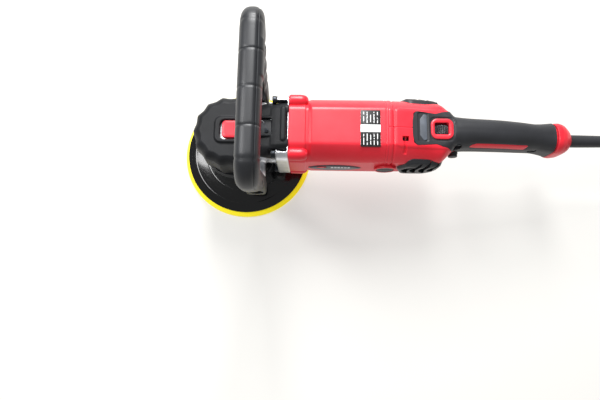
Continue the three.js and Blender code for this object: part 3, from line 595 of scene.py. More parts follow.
# Each light's name, place, aim, size in m and power in W. The key stands behind and throws the one
# shadow that shows.
LIGHTS = (
    ("key", (0.06, 1.08, 1.02), (0.15, 0.0, 0.05), (0.4, 0.75), 33.0),
    ("overhead", (0.10, 0.62, 1.45), (0.10, 0.0, 0.05), (0.4, 0.35), 2.6),
    ("left", (-0.33, 0.13, 0.62), (-0.05, -0.02, 0.03), (0.16, 0.30), 2.6),
)


def make_stage():
    """The floor, the camera, and three soft lights: from behind, from above and from the left."""
    scene = bpy.context.scene
    scene.view_settings.view_transform = "Standard"
    right, up, back = turn_frame(*CAMERA_TURN)
    camera = bpy.data.objects.new("camera", bpy.data.cameras.new("camera"))
    camera.data.sensor_width = 36
    camera.data.lens = 27.18
    camera.data.clip_start = 0.01
    place_at = np.array(CAMERA_AIM) + CAMERA_DISTANCE * back
    camera.matrix_world = Matrix([[right[i], up[i], back[i], place_at[i]] for i in range(3)] + [[0, 0, 0, 1]])
    scene.collection.objects.link(camera)
    scene.camera = camera

    reach = np.linspace(-1, 1, 9) * 3000
    x, y = np.meshgrid(reach, reach, indexing="ij")
    floor = bpy.data.meshes.new("floor")
    points = np.stack([x, y, 0 * x - 0.4], -1).reshape(-1, 3) * MM
    floor.from_pydata(points.tolist(), [], quads(9, 9, False, False)[:, ::-1].tolist())
    ground = bpy.data.objects.new("floor", floor)
    scene.collection.objects.link(ground)
    # A light table: the board glows from below, so that only the key light's shadow shows on it.
    floor.materials.append(
        finish(
            "white_light_table", ("#A6A5A1", "#ABAAA6"), (0.8, 0.9), 400, 3.0, 0.01, IOR=1.45,
            **{GLOW_COLOUR: (1.0, 0.992, 0.97, 1.0), GLOW: 0.5, LEVEL: 0.1},
        )
    )

    world = bpy.data.worlds.new("studio")
    scene.world = world
    world.use_nodes = True
    sky = world.node_tree.nodes["Background"].inputs
    sky["Color"].default_value = (1.0, 1.0, 1.0, 1)
    sky["Strength"].default_value = 0.4
    for name, at, aim, size, power in LIGHTS:
        lamp = bpy.data.lights.new(name, "AREA")
        lamp.shape, lamp.size, lamp.size_y, lamp.energy = "RECTANGLE", size[0], size[1], power
        obj = bpy.data.objects.new(name, lamp)
        obj.location = at
        obj.rotation_euler = (Vector(aim) - Vector(at)).to_track_quat("-Z", "Y").to_euler()
        scene.collection.objects.link(obj)


CORD_ROUTE = np.array([
    (398, 0, 73), (402, 0, 73), (406, 0, 73), (415.1, 0.8, 71.8), (423.6, 2.6, 68.4), (430.9, 5.3, 63),
    (436.7, 8.6, 55.9), (440.4, 12.3, 47.5), (442, 16.2, 38.5), (443.1, 19.7, 30.7), (446, 23, 23.4),
    (450.3, 26, 16.9), (456, 28.8, 11.5), (462.7, 31, 7.4), (470.1, 32.8, 4.9), (474.6, 33.3, 4.2),
], float)  # fmt: skip
COIL = {"x": 509.0, "y": -25.0, "outer": 60.0, "pitch": 8.0, "turns": 4, "low": 4.0}
PLUG = {"x": 520.0, "y": 23.0, "z": 36.5}


def coil_line():
    """The coil's centre line: rings of one radius, each stepping in or out by one cord's thickness
    in the last part of its turn, in three layers that climb by one thickness; its end rises over
    the rings to the plug's nose."""
    turn = np.arange(0.02, 11.96, 1 / 40)
    ring = np.floor(turn)
    step = eased((turn - ring - 0.78) / 0.22)
    layer = np.floor(ring / COIL["turns"])
    inside = ring - layer * COIL["turns"]
    last = inside == COIL["turns"] - 1
    depth = np.where(
        layer % 2 == 0, inside + np.where(last, 0, step), COIL["turns"] - 1 - inside - np.where(last, 0, step)
    )
    radius = COIL["outer"] - COIL["pitch"] * depth
    height = COIL["low"] + COIL["pitch"] * (layer + np.where(last, step, 0))
    rise = eased((turn - 11.5) / 0.3)
    leave = eased((turn - 11.55) / 0.41)
    height = np.where(turn > 11.5, 20 + 11.5 * rise, height)
    radius = np.where(turn > 11.5, radius + 13.7 * leave, radius)
    angle = np.radians(90 - 360 * turn)
    return np.stack([COIL["x"] + radius * np.cos(angle), COIL["y"] + radius * np.sin(angle), height], -1)


def joined_line(points, step):
    """A line through the points by centripetal Catmull-Rom pieces, then taken at equal steps."""
    p = np.concatenate([2 * points[:1] - points[1:2], points, 2 * points[-1:] - points[-2:-1]])
    knots = np.r_[0, np.cumsum(np.sqrt(np.linalg.norm(np.diff(p, axis=0), axis=1)))]
    t = np.concatenate([np.linspace(a, b, 12, endpoint=False) for a, b in zip(knots[1:-2], knots[2:-1])])
    i = np.clip(np.searchsorted(knots, t, side="right") - 1, 1, len(p) - 3)
    t0, t1, t2, t3 = (knots[i + k][:, None] for k in (-1, 0, 1, 2))
    p0, p1, p2, p3 = (p[i + k] for k in (-1, 0, 1, 2))
    t = t[:, None]
    a1 = (t1 - t) / (t1 - t0) * p0 + (t - t0) / (t1 - t0) * p1
    a2 = (t2 - t) / (t2 - t1) * p1 + (t - t1) / (t2 - t1) * p2
    a3 = (t3 - t) / (t3 - t2) * p2 + (t - t2) / (t3 - t2) * p3
    b1 = (t2 - t) / (t2 - t0) * a1 + (t - t0) / (t2 - t0) * a2
    b2 = (t3 - t) / (t3 - t1) * a2 + (t - t1) / (t3 - t1) * a3
    line = np.concatenate([(t2 - t) / (t2 - t1) * b1 + (t - t1) / (t2 - t1) * b2, points[-1:]])
    far = np.r_[0, np.cumsum(np.linalg.norm(np.diff(line, axis=0), axis=1))]
    at = np.linspace(0, far[-1], int(far[-1] / step) + 1)
    return np.stack([np.interp(at, far, line[:, k]) for k in range(3)], -1), far[-1]


def tube(line, radius, sides=14):
    """A round tube along a line: rings of points square to the line's direction, turned about it
    from the upright so that they never twist."""
    along = np.gradient(line, axis=0)
    along /= np.linalg.norm(along, axis=1, keepdims=True)
    side = np.cross(along, [0, 0, 1.0])
    side /= np.linalg.norm(side, axis=1, keepdims=True) + 1e-9
    up = np.cross(side, along)
    angle = np.linspace(0, 2 * np.pi, sides, endpoint=False)
    radius = np.reshape(np.broadcast_to(radius, (len(line),)), (-1, 1, 1))
    return loft(
        line[:, None] + radius * (
            np.cos(angle)[None, :, None] * side[:, None] + np.sin(angle)[None, :, None] * up[:, None]
        )
    )


def make_lead():
    """The guard, the lead in its coil, the strap round the coil, and the plug with its pins."""
    lead, coil = CORD_ROUTE, coil_line()
    nose = np.array([[496.0, 23.0, 31.5]])
    line, length = joined_line(np.concatenate([lead, [[490.0, 34.6, 4.0]], coil[:-1], nose]), 2.6)
    cord = place(raw("lead", [tube(line, 4.0)]), "housing", "cord", ("power_cord", "cord_coil"))

    # The guard: a collar, a neck and a smooth sleeve that tapers to the lead.
    x = np.linspace(339.0, GUARD_END, 60)
    sleeve = through(x, [339, 350, 356, 378, GUARD_END], [6.4, 6.4, 6.3, 5.9, 4.7])
    profile = np.concatenate(
        [[(0, 333), (8, 333), (8, 336), (6.2, 336)], np.stack([sleeve, x], -1), [(0, GUARD_END)]]
    )
    guard = place(
        raw("lead_guard", [turned(profile, "x", (0, TAIL_Z), 48, 0.4)]),
        "housing",
        "grip rubber",
        ("cord_guard",),
    )

    stations = np.array([484, 487, 496, 504, 508, 511, 514, 516, 530, 536, 538]) + 12.0
    half_y = [5, 5.2, 5.9, 7.0, 9.5, 14.5, 17.0, 17.6, 18, 17.6, 16.8]
    half_z = [5, 5.2, 5.9, 7.0, 8.8, 11.0, 12.0, 12, 12, 11.7, 11]
    centre = through(stations, [496, 508, 520, 550], [31.5, 34.2, 36.5, 36.5])
    y, z = rounded(half_y, half_z, np.minimum(half_y, half_z) * 0.93, np.arange(64) / 64)
    body = loft(along_x(stations, y + PLUG["y"], z + centre[:, None]))
    ridges = [
        block(a, a + 1.2, 8, 38, PLUG["z"] - 12.4, PLUG["z"] + 12.4, 8, 0.5, "x") for a in (531, 534.5, 538)
    ]
    plug = place(combined("plug_moulding", [body, *ridges]), "housing", "cord", ("plug_body",))
    for i, offset in ((1, -9.5), (2, 9.5)):
        pin = rod(2.4, 548, 569, "x", (PLUG["y"] + offset, PLUG["z"]), 28, 1.1)
        place(raw(f"pin_{i}", [pin]), "housing", "brass", (f"plug_pin_{i}",))
    # A strap round the cords of the coil where it passes nearest: a rounded rectangle ring.
    v, w = rounded([14.6, 14.0], [12.5, 11.9], [5, 4.6], np.arange(72) / 72)
    middle = COIL["y"] - 48
    x = np.array([-8.0, -7.4, 7.4, 8.0]) + COIL["x"]
    outer, inner = (
        along_x(
            x, np.repeat(v[k : k + 1], 4, 0) + middle, np.repeat(w[k : k + 1], 4, 0) + 12.6
        ) for k in (0, 1)
    )
    strap = place(raw("coil_strap", [wall(outer, inner, closed=True)]), "housing", "strap")


# ---------------------------------------------------------------- pad and drive


def make_pad():
    """The foam pad, its hook layer, the plate with its turned rings, and the shroud."""
    r = bpy.context.scene.polisher.pad_radius / MM
    foam = turned([(0, 0), (r, 0), (r, 2), (r - 4.4, 7.3), (0, 7.3)], "z", (0, 0), 180, 1.3)
    foam = place(raw("foam_disc", [foam]), "pad", "foam", ("foam_pad",))
    hook = rod(r - 4.7, 7.3, 8.3, "z", (0, 0), 180, 0.3)
    place(raw("hook_layer", [hook]), "pad", "hook layer")
    x = np.linspace(70, 17, 260)
    dome = through(70 - x, [0, 2, 8, 28, 39, 51, 53], [9.6, 10.2, 12, 15.5, 17.5, 19, 20])
    for centre, height, half in (
        (66, 0.06, 0.8), (61, 0.1, 1.0), (47, 0.08, 0.8), (34, 0.15, 1.0), (25, 0.4, 1.2)
    ):
        dome = dome + height * eased(1 - np.abs(x - centre) / half)
    profile = np.concatenate(
        [[(0, 8.3), (69, 8.3), (70, 8.9)], np.stack([x, dome], -1), [(16.6, 26), (0, 26)]]
    )
    plate = turned(profile, "z", (0, 0), 180, 0.25)
    place(raw("pad_plate", [plate]), "pad", "gloss plate", ("backing_plate",))
    outline = [
        (34.4, 34), (36.4, 34), (37, 36), (37, 44), (36.4, 45), (37, 46), (37, 54.7), (21.3, 54.7),
        (21.3, 51.7), (34.4, 49.7),
    ]  # fmt: skip
    skirt = turned(outline, "z", (SPINDLE_X, 0), 128, 0.5)
    place(raw("skirt", [skirt]), "housing", "black nylon", ("shroud",))


def bosses_out(radius, near, far, at, soft=0.8):
    """A round boss on each side of the tool, along Y."""
    one = rod(radius, near, far, "y", at, 48, soft)
    return [one, mirrored(one)]


def neck_loft(grow):
    """The gear head's neck, grow larger all round: rounded rectangles widening from the head to
    the flange."""
    x = np.linspace(10, 41, 28)
    hw = through(x, [10, 24, 41], [18, 24.5, 25.5]) + grow
    hh = through(x, [10, 24, 41], [19, 23, 27.5]) + grow
    zc = through(x, [10, 24, 41], [78, 79, 80])
    y, z = rounded(hw, hh, 12, np.arange(96) / 96)
    return loft(along_x(x, y, z + zc[:, None]))


def square_ring(x, half, corner, count=128, chamfer=0.0):
    """Rounded squares about the motor's axis at the distances x."""
    x = np.atleast_1d(np.asarray(x, float))
    y, z = rounded(
        np.broadcast_to(half, x.shape), np.broadcast_to(half, x.shape), np.broadcast_to(corner, x.shape),
        np.arange(count) / count, chamfer,
    )  # fmt: skip
    return along_x(x, y, z + MOTOR_Z)


def screw_places():
    """The flange screws' places, as (Y, Z)."""
    corners = ((-1, -1), (1, -1), (1, 1), (-1, 1))
    return [(y * SCREW_REACH, MOTOR_Z + z * SCREW_REACH) for y, z in corners]


def make_gear_head():
    """The cast gear housing: head, neck, flange and handle bosses run together with cast fillets,
    cut by the gear room, the bores and the screw holes; then its four screws."""
    head = turned([(0, 60), (33.7, 60), (33.7, 92), (27.7, 97), (0, 97)], "z", (SPINDLE_X, 0), 128, 1.5)
    flange = loft(square_ring([41, 41.8, 53.2, 53.7], [32.4, 33, 33, 32.7], 8))
    ribs = [block(14, 41, y - 1.4, y + 1.4, 56, 62, 1.2, 0.6) for y in (-14, 14)]
    seams = [block(30, 41.5, 24, 26.6, 72, 76, 1, 0.5), block(30, 41.5, -26.6, -24, 72, 76, 1, 0.5)]
    room = turned([(0, 50), (28.5, 50), (28.5, 84), (22, 87), (0, 87)], "z", (SPINDLE_X, 0), 96)
    holes = [
        rod(7.05, 86, 96, "z", (SPINDLE_X, 0), 48, 0.1),
        rod(1.7, 80, 110, "z", (4, 0), 24, 0.1),
        rod(8.6, 8, 30, "x", (0, MOTOR_Z), 48, 0.1),
        rod(11.02, 29.5, 41.5, "x", (0, MOTOR_Z), 48, 0.1),
        rod(27, 40.9, 60, "x", (0, MOTOR_Z), 64, 0.1),
        *(rod(2.7, 30, 60, "x", at, 24, 0.1) for at in screw_places()),
        *bosses_out(4.2, 27, 45, HANDLE_AXIS, 0.1),
    ]
    under = turned(
        [(0, 40), (37.3, 40), (37.3, 55), (34, 55.2), (34, 60), (0, 60)], "z", (SPINDLE_X, 0), 96, 0.1
    )
    case = combined(
        "gear_case",
        [head, neck_loft(0), flange, *bosses_out(9, 20, 40.5, HANDLE_AXIS), *ribs, *seams],
        [room, *holes, under, block(37, 52.2, -25.9, 25.9, 107.8, 124, 0.8, 0.1)],
        voxel=0.8,
        calm=3,
    )
    place(case, "housing", "cast aluminium", ("gear_housing",), 60)
    for i, (y, z) in enumerate(screw_places(), 1):
        head = turned([(0, 37), (4.2, 37), (4.2, 41), (2.5, 41), (2.5, 66), (0, 66)], "x", (y, z), 32, 0.5)
        socket = hexagon(1.9, 36.0, 39.6, "x", (y, z))
        place(
            combined(f"flange_bolt_{i}", [head], [socket]), "housing", "oxide steel", (f"flange_screw_{i}",)
        )


# The boot's flats: how far the middle of each would stand from the axis, and how hollow it is.
FLAT_REACH = 37.45
FLAT_HOLLOW = 0.95


def scallop(z, scale):
    """The boot's outline seen from above: fourteen flats, slightly hollow, between soft corners."""
    angle = np.pi + np.linspace(0, 2 * np.pi, 224, endpoint=False)
    from_flat = (angle - np.pi) % (np.pi / 7) - np.pi / 14
    hollow = FLAT_HOLLOW * np.cos(from_flat * 7) ** 2
    radius = scale * (FLAT_REACH / np.cos(from_flat) - hollow)
    return np.stack([SPINDLE_X + radius * np.cos(angle), radius * np.sin(angle), np.full(224, float(z))], -1)


def make_boot():
    """The rubber boot over the head, the lock button in its window, and the small parts in the
    rear window."""
    z = np.array([60.3, 61, 62, 70, 78, 85, 89, 93, 96, 98.5, 99.6, 100.2])
    scale = through(z, [60.3, 62, 78, 88, 93, 98.5, 100.2], [0.955, 0.97, 1, 0.975, 0.945, 0.83, 0.74])
    head = loft([scallop(a, b) for a, b in zip(z, scale)])
    x = np.linspace(4, 41, 30)
    top = through(x, [4, 6, 22, 32, 41], [100.2, 100.5, 104.5, 108, 110.6])
    hw = through(x, [4, 6, 22, 32, 41], [19, 20, 25, 27, 27])
    y, v = rounded(hw, (top - 84) / 2, 8, np.arange(96) / 96, 0.25)
    neck = loft(along_x(x, y, v + ((84 + top) / 2)[:, None]))
    x = np.array([36.0, 41, 47, 52, 53.3, 53.6])
    top = np.array([109.8, 112, 113.6, 114.3, 114.3, 114.1])
    y, v = rounded([25, 25.5, 25.5, 25.5, 25.3, 25], (top - 88) / 2, 7, np.arange(96) / 96, 0.5)
    tongue = loft(along_x(x, y, v + ((88 + top) / 2)[:, None]))
    bar = block(46.2, 50.8, -15.5, 18.5, 110, 115.6, 2.2, 1.1)
    rim = block(-20.6, 12.4, -14.2, 12.8, 94, 102.3, 6.5, 1.2)
    lip = block(22.3, 38.4, -10.2, 10.2, 103, 110.4, 3, 1.0)
    windows = [
        block(-15.2, 8.9, -11.0, 9.4, 88, 112, 4.6, 0.4),
        block(24.2, 36.8, -8.4, 8.4, 105.2, 122, 1.8, 0.3),
        block(51.4, 56, -13.6, 13.6, 100, 122, 0.8, 0.2),
    ]
    head_room = turned([(0, 50), (34, 50), (34, 92.2), (28, 97.3), (0, 97.3)], "z", (SPINDLE_X, 0), 96, 0.8)
    flange_room = [
        block(40.8, 60, -45, 45, 40, 108.0, 0.6, 0.1),
        block(40.8, 60, 25.6, 45, 60, 124, 0.4, 0.1),
        block(40.8, 60, -45, -25.6, 60, 124, 0.4, 0.1),
    ]
    skip = [rod(5.2, 34, 42, "x", at, 24, 0.1) for at in screw_places()]
    boot = combined(
        "boot",
        [head, neck, tongue, rim, lip, bar],
        [
            head_room, neck_loft(0.3), *flange_room, *bosses_out(9.3, 20, 41.0, HANDLE_AXIS, 0.1),
            *windows, *skip,
        ],  # fmt: skip
        voxel=0.72,
        calm=2,
    )
    place(boot, "housing", "boot rubber", ("head_boot",), 60)

    # The button: a rounded cap with a shallow dish for the thumb, on its pin.
    inset = np.array([3.0, 0.0, 0.0, 0.5, 1.6, 3.4, 6.0])
    level = np.array([100.35, 100.35, 102.6, 103.6, 104.0, 103.95, 103.9])
    y, v = rounded(10.6 - inset, 8.7 - inset, np.maximum(3.4 - inset * 0.4, 0.8), np.arange(80) / 80)
    cap = loft(np.stack([y - 2.2, v - 0.9, np.repeat(level[:, None], 80, 1)], -1))
    pin = rod(1.5, 72.5, 101, "z", (4, 0), 24, 0.3)
    place(combined("lock_button", [cap, pin]), "spindle_lock", "red nylon", ("spindle_lock_button",))
    # In the rear window: a dark floor plate, a small screw and a sprung hook.
    place(
        raw("window_plate", [block(24.6, 36.4, -8.0, 8.0, 104.9, 106.6, 1.4, 0.3)]), "housing", "black nylon"
    )
    head = rod(2.3, 106, 107.9, "z", (31.5, -3.6), 28, 0.5)
    slot = block(29, 34, -4.1, -3.1, 107.2, 110, 0.3, 0.1)
    place(combined("window_screw", [head], [slot]), "housing", "oxide steel")
    bend = np.linspace(0, 4.4, 26)
    wire = np.stack([26.2 + 3.2 * np.cos(bend), 3.4 + 3.0 * np.sin(bend), np.full(26, 107.5)], -1)
    hook = tube(wire, 0.55, 10)
    place(raw("window_hook", [hook]), "housing", "ground steel")


# ---------------------------------------------------------------- D-handle


# The D-handle's halves meet this far behind its middle, so the front one covers most of the bar.
HALVES_MEET = 5.6


def bail(side):
    """Half of the handle, front (side -1) or rear (1), as a closed body: a D-shaped ring, half a squared
    ellipse and the flat of the parting plane, carried up one arm, round the bend, across the bar
    and down the other arm. Thin rings are sunk into the bar, and the parting edges are rounded."""
    ys, zs = [49.1, 49.1, 49.1, 49.1, 51.5, 56, 62.5, 65.0], [50, 50.8, 64, 76, 92, 122, 160, 181]
    leans, halves = [90, 90, 90, 90, 83, 81, 81, 90], [7.3, 8.1, 8.1, 8.1, 9.5, 11.5, 12, 12]
    z = np.r_[50, 50.3, 50.8, np.linspace(52, 180, 84)]
    y, lean, half = through(z, zs, ys), through(z, zs, leans), through(z, zs, halves)
    soft = through(z, [50, 80, 112, 181], [0.42, 0.45, 0.75, 0.8])
    turn = np.linspace(0, np.pi / 2, 26)
    y = np.r_[y, 52 + 13 * np.cos(turn)]
    z = np.r_[z, 181 + 13 * np.sin(turn)]
    lean, half, soft = np.r_[
        lean, 90 + np.degrees(turn)
    ], np.r_[half, np.full(26, 12.0)], np.r_[soft, np.full(26, 0.8)]
    bar = np.linspace(51.3, -51.3, 118)
    order = slice(None, None, -1)
    y = np.r_[y, bar, -y[order]]
    z = np.r_[z, np.full(118, 194.0), z[order]]
    half = np.r_[half, np.full(118, 12.0), half[order]]
    soft = np.r_[soft, np.full(118, 0.8), soft[order]]
    lean = np.r_[lean, np.full(118, 180.0), 360 - lean[order]]
    far = np.r_[0, np.cumsum(np.hypot(np.diff(y), np.diff(z)))]
    middle = far[-1] / 2
    groove = sum(np.exp(-(((far - middle - at) / 0.75) ** 2)) for at in (-55, -31, 0, 31, 55))
    half = half - 0.55 * groove
    depth = through(z, [50, 66, 110, 181], [11.4, 11.2, 10.3, 10.1]) - 0.5 * groove
    lean = np.radians(lean)
    reach = np.arccos((HALVES_MEET / depth) ** (1 / soft))[:, None]
    sweep, about = (reach, 0) if side > 0 else (np.pi - reach, np.pi)
    angle = np.linspace(-1, 1, 49) * sweep + about
    c, s = np.sin(angle), np.cos(angle)
    power = soft[:, None]
    c = np.sign(c) * np.abs(c) ** power
    s = np.sign(s) * np.abs(s) ** power
    # The parting edge: the last points by the plane draw in, which leaves a thin line all round.
    edge = 1 - 0.045 * eased(1 - np.abs(s - HALVES_MEET / depth[:, None]) / 0.14)
    across = half[:, None] * c * edge
    flat = np.linspace(across[:, -1], across[:, 0], 9)[1:-1].T
    across = np.concatenate([across, flat], 1)
    brink = HALVES_MEET + 0.14 * side
    stand = (np.maximum if side > 0 else np.minimum)(depth[:, None] * s, brink)
    stand = np.concatenate([stand, np.full(flat.shape, brink)], 1)
    if side > 0:
        # Long shallow pockets down the back of each arm and a raised pad on the bar's back.
        back = eased((s - 0.66) / 0.25)
        along, body = far[:, None], stand[:, : s.shape[1]]
        pockets = sum(
            back * eased((from_foot - 34) / 10) * eased((118 - from_foot) / 8)
            for from_foot in (along, far[-1] - along)
        )
        body -= 1.5 * pockets * (0.55 + 0.45 * np.cos(along * 2 * np.pi / 21))
        body += 0.9 * back * eased((17 - np.abs(along - middle + 26)) / 2)
    py = y[:, None] + np.sin(lean)[:, None] * across
    pz = z[:, None] - np.cos(lean)[:, None] * across
    # The whole handle leans back by 8.5 mm over the 129.5 mm from its bolts up to its bar.
    px = 17.9 + 8.5 * (pz - HANDLE_AXIS[1]) / 129.5 + stand
    return loft(np.stack([px, py, pz], -1))


def make_handle():
    """The two halves of the D-handle, counterbored at its feet, and the two bolts."""
    wells = [*bosses_out(7.5, 49, 72, HANDLE_AXIS, 0.1), *bosses_out(4.3, 30, 72, HANDLE_AXIS, 0.1)]
    spots = [rod(2.6, 30, 60, "x", at, 28, 0.2) for at in ((61, 150), (-61, 150), (57.5, 118), (-57.5, 118))]
    place(
        combined("handle_shell_front", [bail(-1)], wells), "housing", "black nylon", ("d_handle_front",), 40
    )
    place(
        combined("handle_shell_rear", [bail(1)], [*wells, *spots]),
        "housing",
        "black nylon",
        ("d_handle_rear",),
        40,
    )
    for name, shape in zip(("left", "right"), (mirrored, tuple)):
        head = turned(
            [(0, 27.3), (4, 27.3), (4, 49.1), (6.5, 49.1), (6.5, 54), (0, 54)], "y", HANDLE_AXIS, 40, 0.5
        )
        socket = hexagon(3.0, 51.0, 56.0, "y", HANDLE_AXIS)
        place(
            combined(f"handle_screw_{name}", [shape(head)], [shape(socket)]),
            "housing",
            "oxide steel",
            (f"handle_bolt_{name}",),
        )


# ---------------------------------------------------------------- motor


def make_motor_housing():
    """The red housing round the motor: a chamfered square tube with a stepped front, ears round
    the screws and bosses round the brushes; its label, its two badges and its brush caps."""
    x = np.r_[
        53.7, 54.2, np.linspace(55, 69, 15), 69.7, 70.2, 71, 72, 73, 74, 75, 76, 77,
        np.linspace(78.5, 146, 50), 147, 147.6, 148.2, 149, 149.6, 150,
    ]  # fmt: skip
    half = through(
        x,
        [53.7, 54.2, 69.5, 70.4, 72.4, 76.2, 147, 147.7, 148.4, 149.6, 150],
        [32.6, 33, 33, 32.3, 32.3, 33.7, 33.7, 33.35, 33.7, 33.6, 33.3],
    )
    outer = calmed(square_ring(x, half, 15, 256, 0.62), 3)
    outer[..., 1] *= through(x, [53, 71, 76.5, 150], [1, 1, 0.955, 0.955])[:, None]
    angle = np.arctan2(outer[..., 2] - MOTOR_Z, outer[..., 1])
    inner = np.stack([outer[..., 0], 30 * np.cos(angle), MOTOR_Z + 30 * np.sin(angle)], -1)
    tube_wall = wall(outer, inner, closed=True)
    ears = []
    for y, z in screw_places():
        ear = turned(
            [(0, 53.7), (6.3, 53.7), (6.3, 66.5), (5.4, 70), (3.2, 72.2), (0, 73)],
            "x",
            (y * 0.985, MOTOR_Z + (z - MOTOR_Z) * 0.985),
            40,
            1.6,
        )
        ears.append(ear)
    bosses = bosses_out(11, 30.5, 35.2, BRUSH_AXIS, 0.9)
    wells = bosses_out(9.2, 10, 50, BRUSH_AXIS, 0.1)
    holes = [rod(2.7, 50, 66.4, "x", at, 24, 0.1) for at in screw_places()]
    place(
        combined("motor_case", [tube_wall, *ears, *bosses], [*wells, *holes]),
        "housing",
        "red nylon",
        ("motor_housing",),
        28,
    )

    ring = np.stack(rounded(9.6, 18.3, 1.0, np.arange(64) / 64), -1)[0] + [132.4, -2.2]
    place(raw("rating_label", [prism(ring, MOTOR_Z + 33.4, MOTOR_Z + 33.86, 0.12)]), "housing", "label")
    t = np.linspace(0, 2 * np.pi, 96, endpoint=False)
    lens = np.stack([100 + 27 * np.cos(t), 77 + 10.5 * np.sign(np.sin(t)) * np.abs(np.sin(t)) ** 1.3], -1)
    inner = np.stack([100 + 25.2 * np.cos(t), 77 + 8.9 * np.sign(np.sin(t)) * np.abs(np.sin(t)) ** 1.3], -1)
    bars = [block(96 + 3.4 * i, 98.6 + 3.4 * i, 32.75, 33.4, 79.2, 82.4, 0.5, 0.15, "y") for i in range(6)]
    arrow = prism(
        softened([(81, 80.5), (86, 83.2), (92, 82.4), (88, 80.6), (92, 79.4), (86, 78.4)], 0.8, True, 4),
        32.75,
        33.4,
        0.15,
        "y",
    )
    for name, turn in (("left", mirrored), ("right", lambda shape: shape)):
        plate = [turn(prism(lens, 31.6, 32.55, 0.3, "y")), turn(prism(inner, 32.35, 32.9, 0.2, "y"))]
        place(raw(f"badge_{name}", plate), "housing", "badge")
        place(raw(f"badge_bars_{name}", [turn(b) for b in bars]), "housing", "white print")
        place(raw(f"badge_arrow_{name}", [turn(arrow)]), "housing", "red nylon")
        cap = turned(
            [(0, 28), (9, 28), (9, 34.4), (8.2, 35.0), (3, 34.6), (0, 34.6)], "y", BRUSH_AXIS, 48, 0.5
        )
        slot = block(144.4, 157.6, 33.4, 40, 79, 81, 0.3, 0.1)
        place(
            combined(f"brush_plug_{name}", [turn(cap)], [turn(slot)]),
            "housing",
            "black nylon",
            (f"brush_cap_{name}",),
        )


# ---------------------------------------------------------------- rear body and grip

# Along X: height of the middle, half-width, half-height, corner.
REAR = np.array([
    (150, 80, 32.2, 33.4, 15),
    (172, 79.5, 32.4, 31, 15),
    (190, 80, 32.2, 28, 15),
    (202, 82.5, 30.8, 24.5, 15),
    (210, 86, 24.4, 21, 15),
    (218, 89.6, 16.0, 17.7, 14),
    (234, 89, 14.4, 17.6, 13),
    (262, 86.6, 14.0, 17.3, 13),
    (284, 83, 13.6, 16.8, 13),
    (303, 79, 12.9, 16.5, 12.5),
    (316, 76, 14.2, 17.5, 12.5),
    (325, 72.8, 15.4, 20.2, 12.5),
    (330, 72.6, 15.0, 18.6, 12.5),
    (334.5, 72.8, 13.2, 15.2, 12),
    (338, 73, 10.8, 11.8, 10.5),
    (341, 73, 8.2, 8.2, 8.0),
], float)  # fmt: skip


def rear_sizes(x):
    """The rear body's middle height, half-width, half-height and corner at the distances x."""
    return [through(x, REAR[:, 0], REAR[:, i]) for i in (1, 2, 3, 4)]


def half_girth(x):
    """Roughly half the way round the rear body at the distances x."""
    _, hw, hh, _ = rear_sizes(x)
    return HALF_GIRTH * (hw + hh)


def rear_skin(x, turn, stand=0.0):
    """The rear body's outside, stand millimetres off, at the distances x (rows) and the turns
    (columns, or one row of turns for each x): rounded rectangles whose sizes run smoothly along X
    and whose chamfered corners fade to round ones by the grip."""
    zc, hw, hh, k = rear_sizes(x)
    chamfer = 0.62 * (1 - eased((x - 186) / 26))
    y, z = rounded(hw + stand, hh + stand, np.maximum(k + stand, 1), turn, chamfer)
    return along_x(x, y, z + zc[:, None])


# The intake covers' outline along X and Z, and the middle that it shrinks towards.
VENT_LEAF = [(161.5, 86), (167, 66), (196, 65), (209.5, 80), (206.5, 91.5), (194, 98.5), (172, 101.5)]
VENT_MIDDLE = np.array([186.0, 84.0])

# The right strip sits this much of a turn lower than the left one.
FAR_STRIP_TURN = 0.016


def grip_reach(x):
    """How far the rubber reaches round from the top at x, in turns: a panel on the body's top,
    opening to the whole way round the grip."""
    return through(
        x,
        [173, 174.4, 177.5, 184, 195, 203, 211, 217, 224, 232],
        [0.048, 0.065, 0.076, 0.074, 0.071, 0.086, 0.13, 0.22, 0.42, 0.5],
    )


# The shells' screws: X, Z, and the Y of the head's face and of the tip.
SHELL_SCREWS = ((171, 101.5, -13, 12), (219, 98, -11, 9), (299, 82, -10, 8))


def shell_cuts():
    """What is cut from the shells and the rubber: trigger slot, lock-on hole, dial window, screws."""
    cuts = [
        block(222, 276, -8.1, 8.1, 30, 80, 1.5, 0.2),
        rod(5.3, -40, -5, "y", LOCK_ON_AXIS, 36, 0.1),
        block(194.6, 210.4, -6.2, 6.2, 84, 120, 1.5, 0.2),
    ]
    for x, z, head, end in SHELL_SCREWS[1:]:
        cuts.append(
            turned(
                [(0, -60), (4.5, -60), (4.5, head), (2.2, head + 0.1), (2.2, end + 0.5), (0, end + 0.5)],
                "y",
                (x, z),
                36,
                0.1,
            )
        )
    return cuts


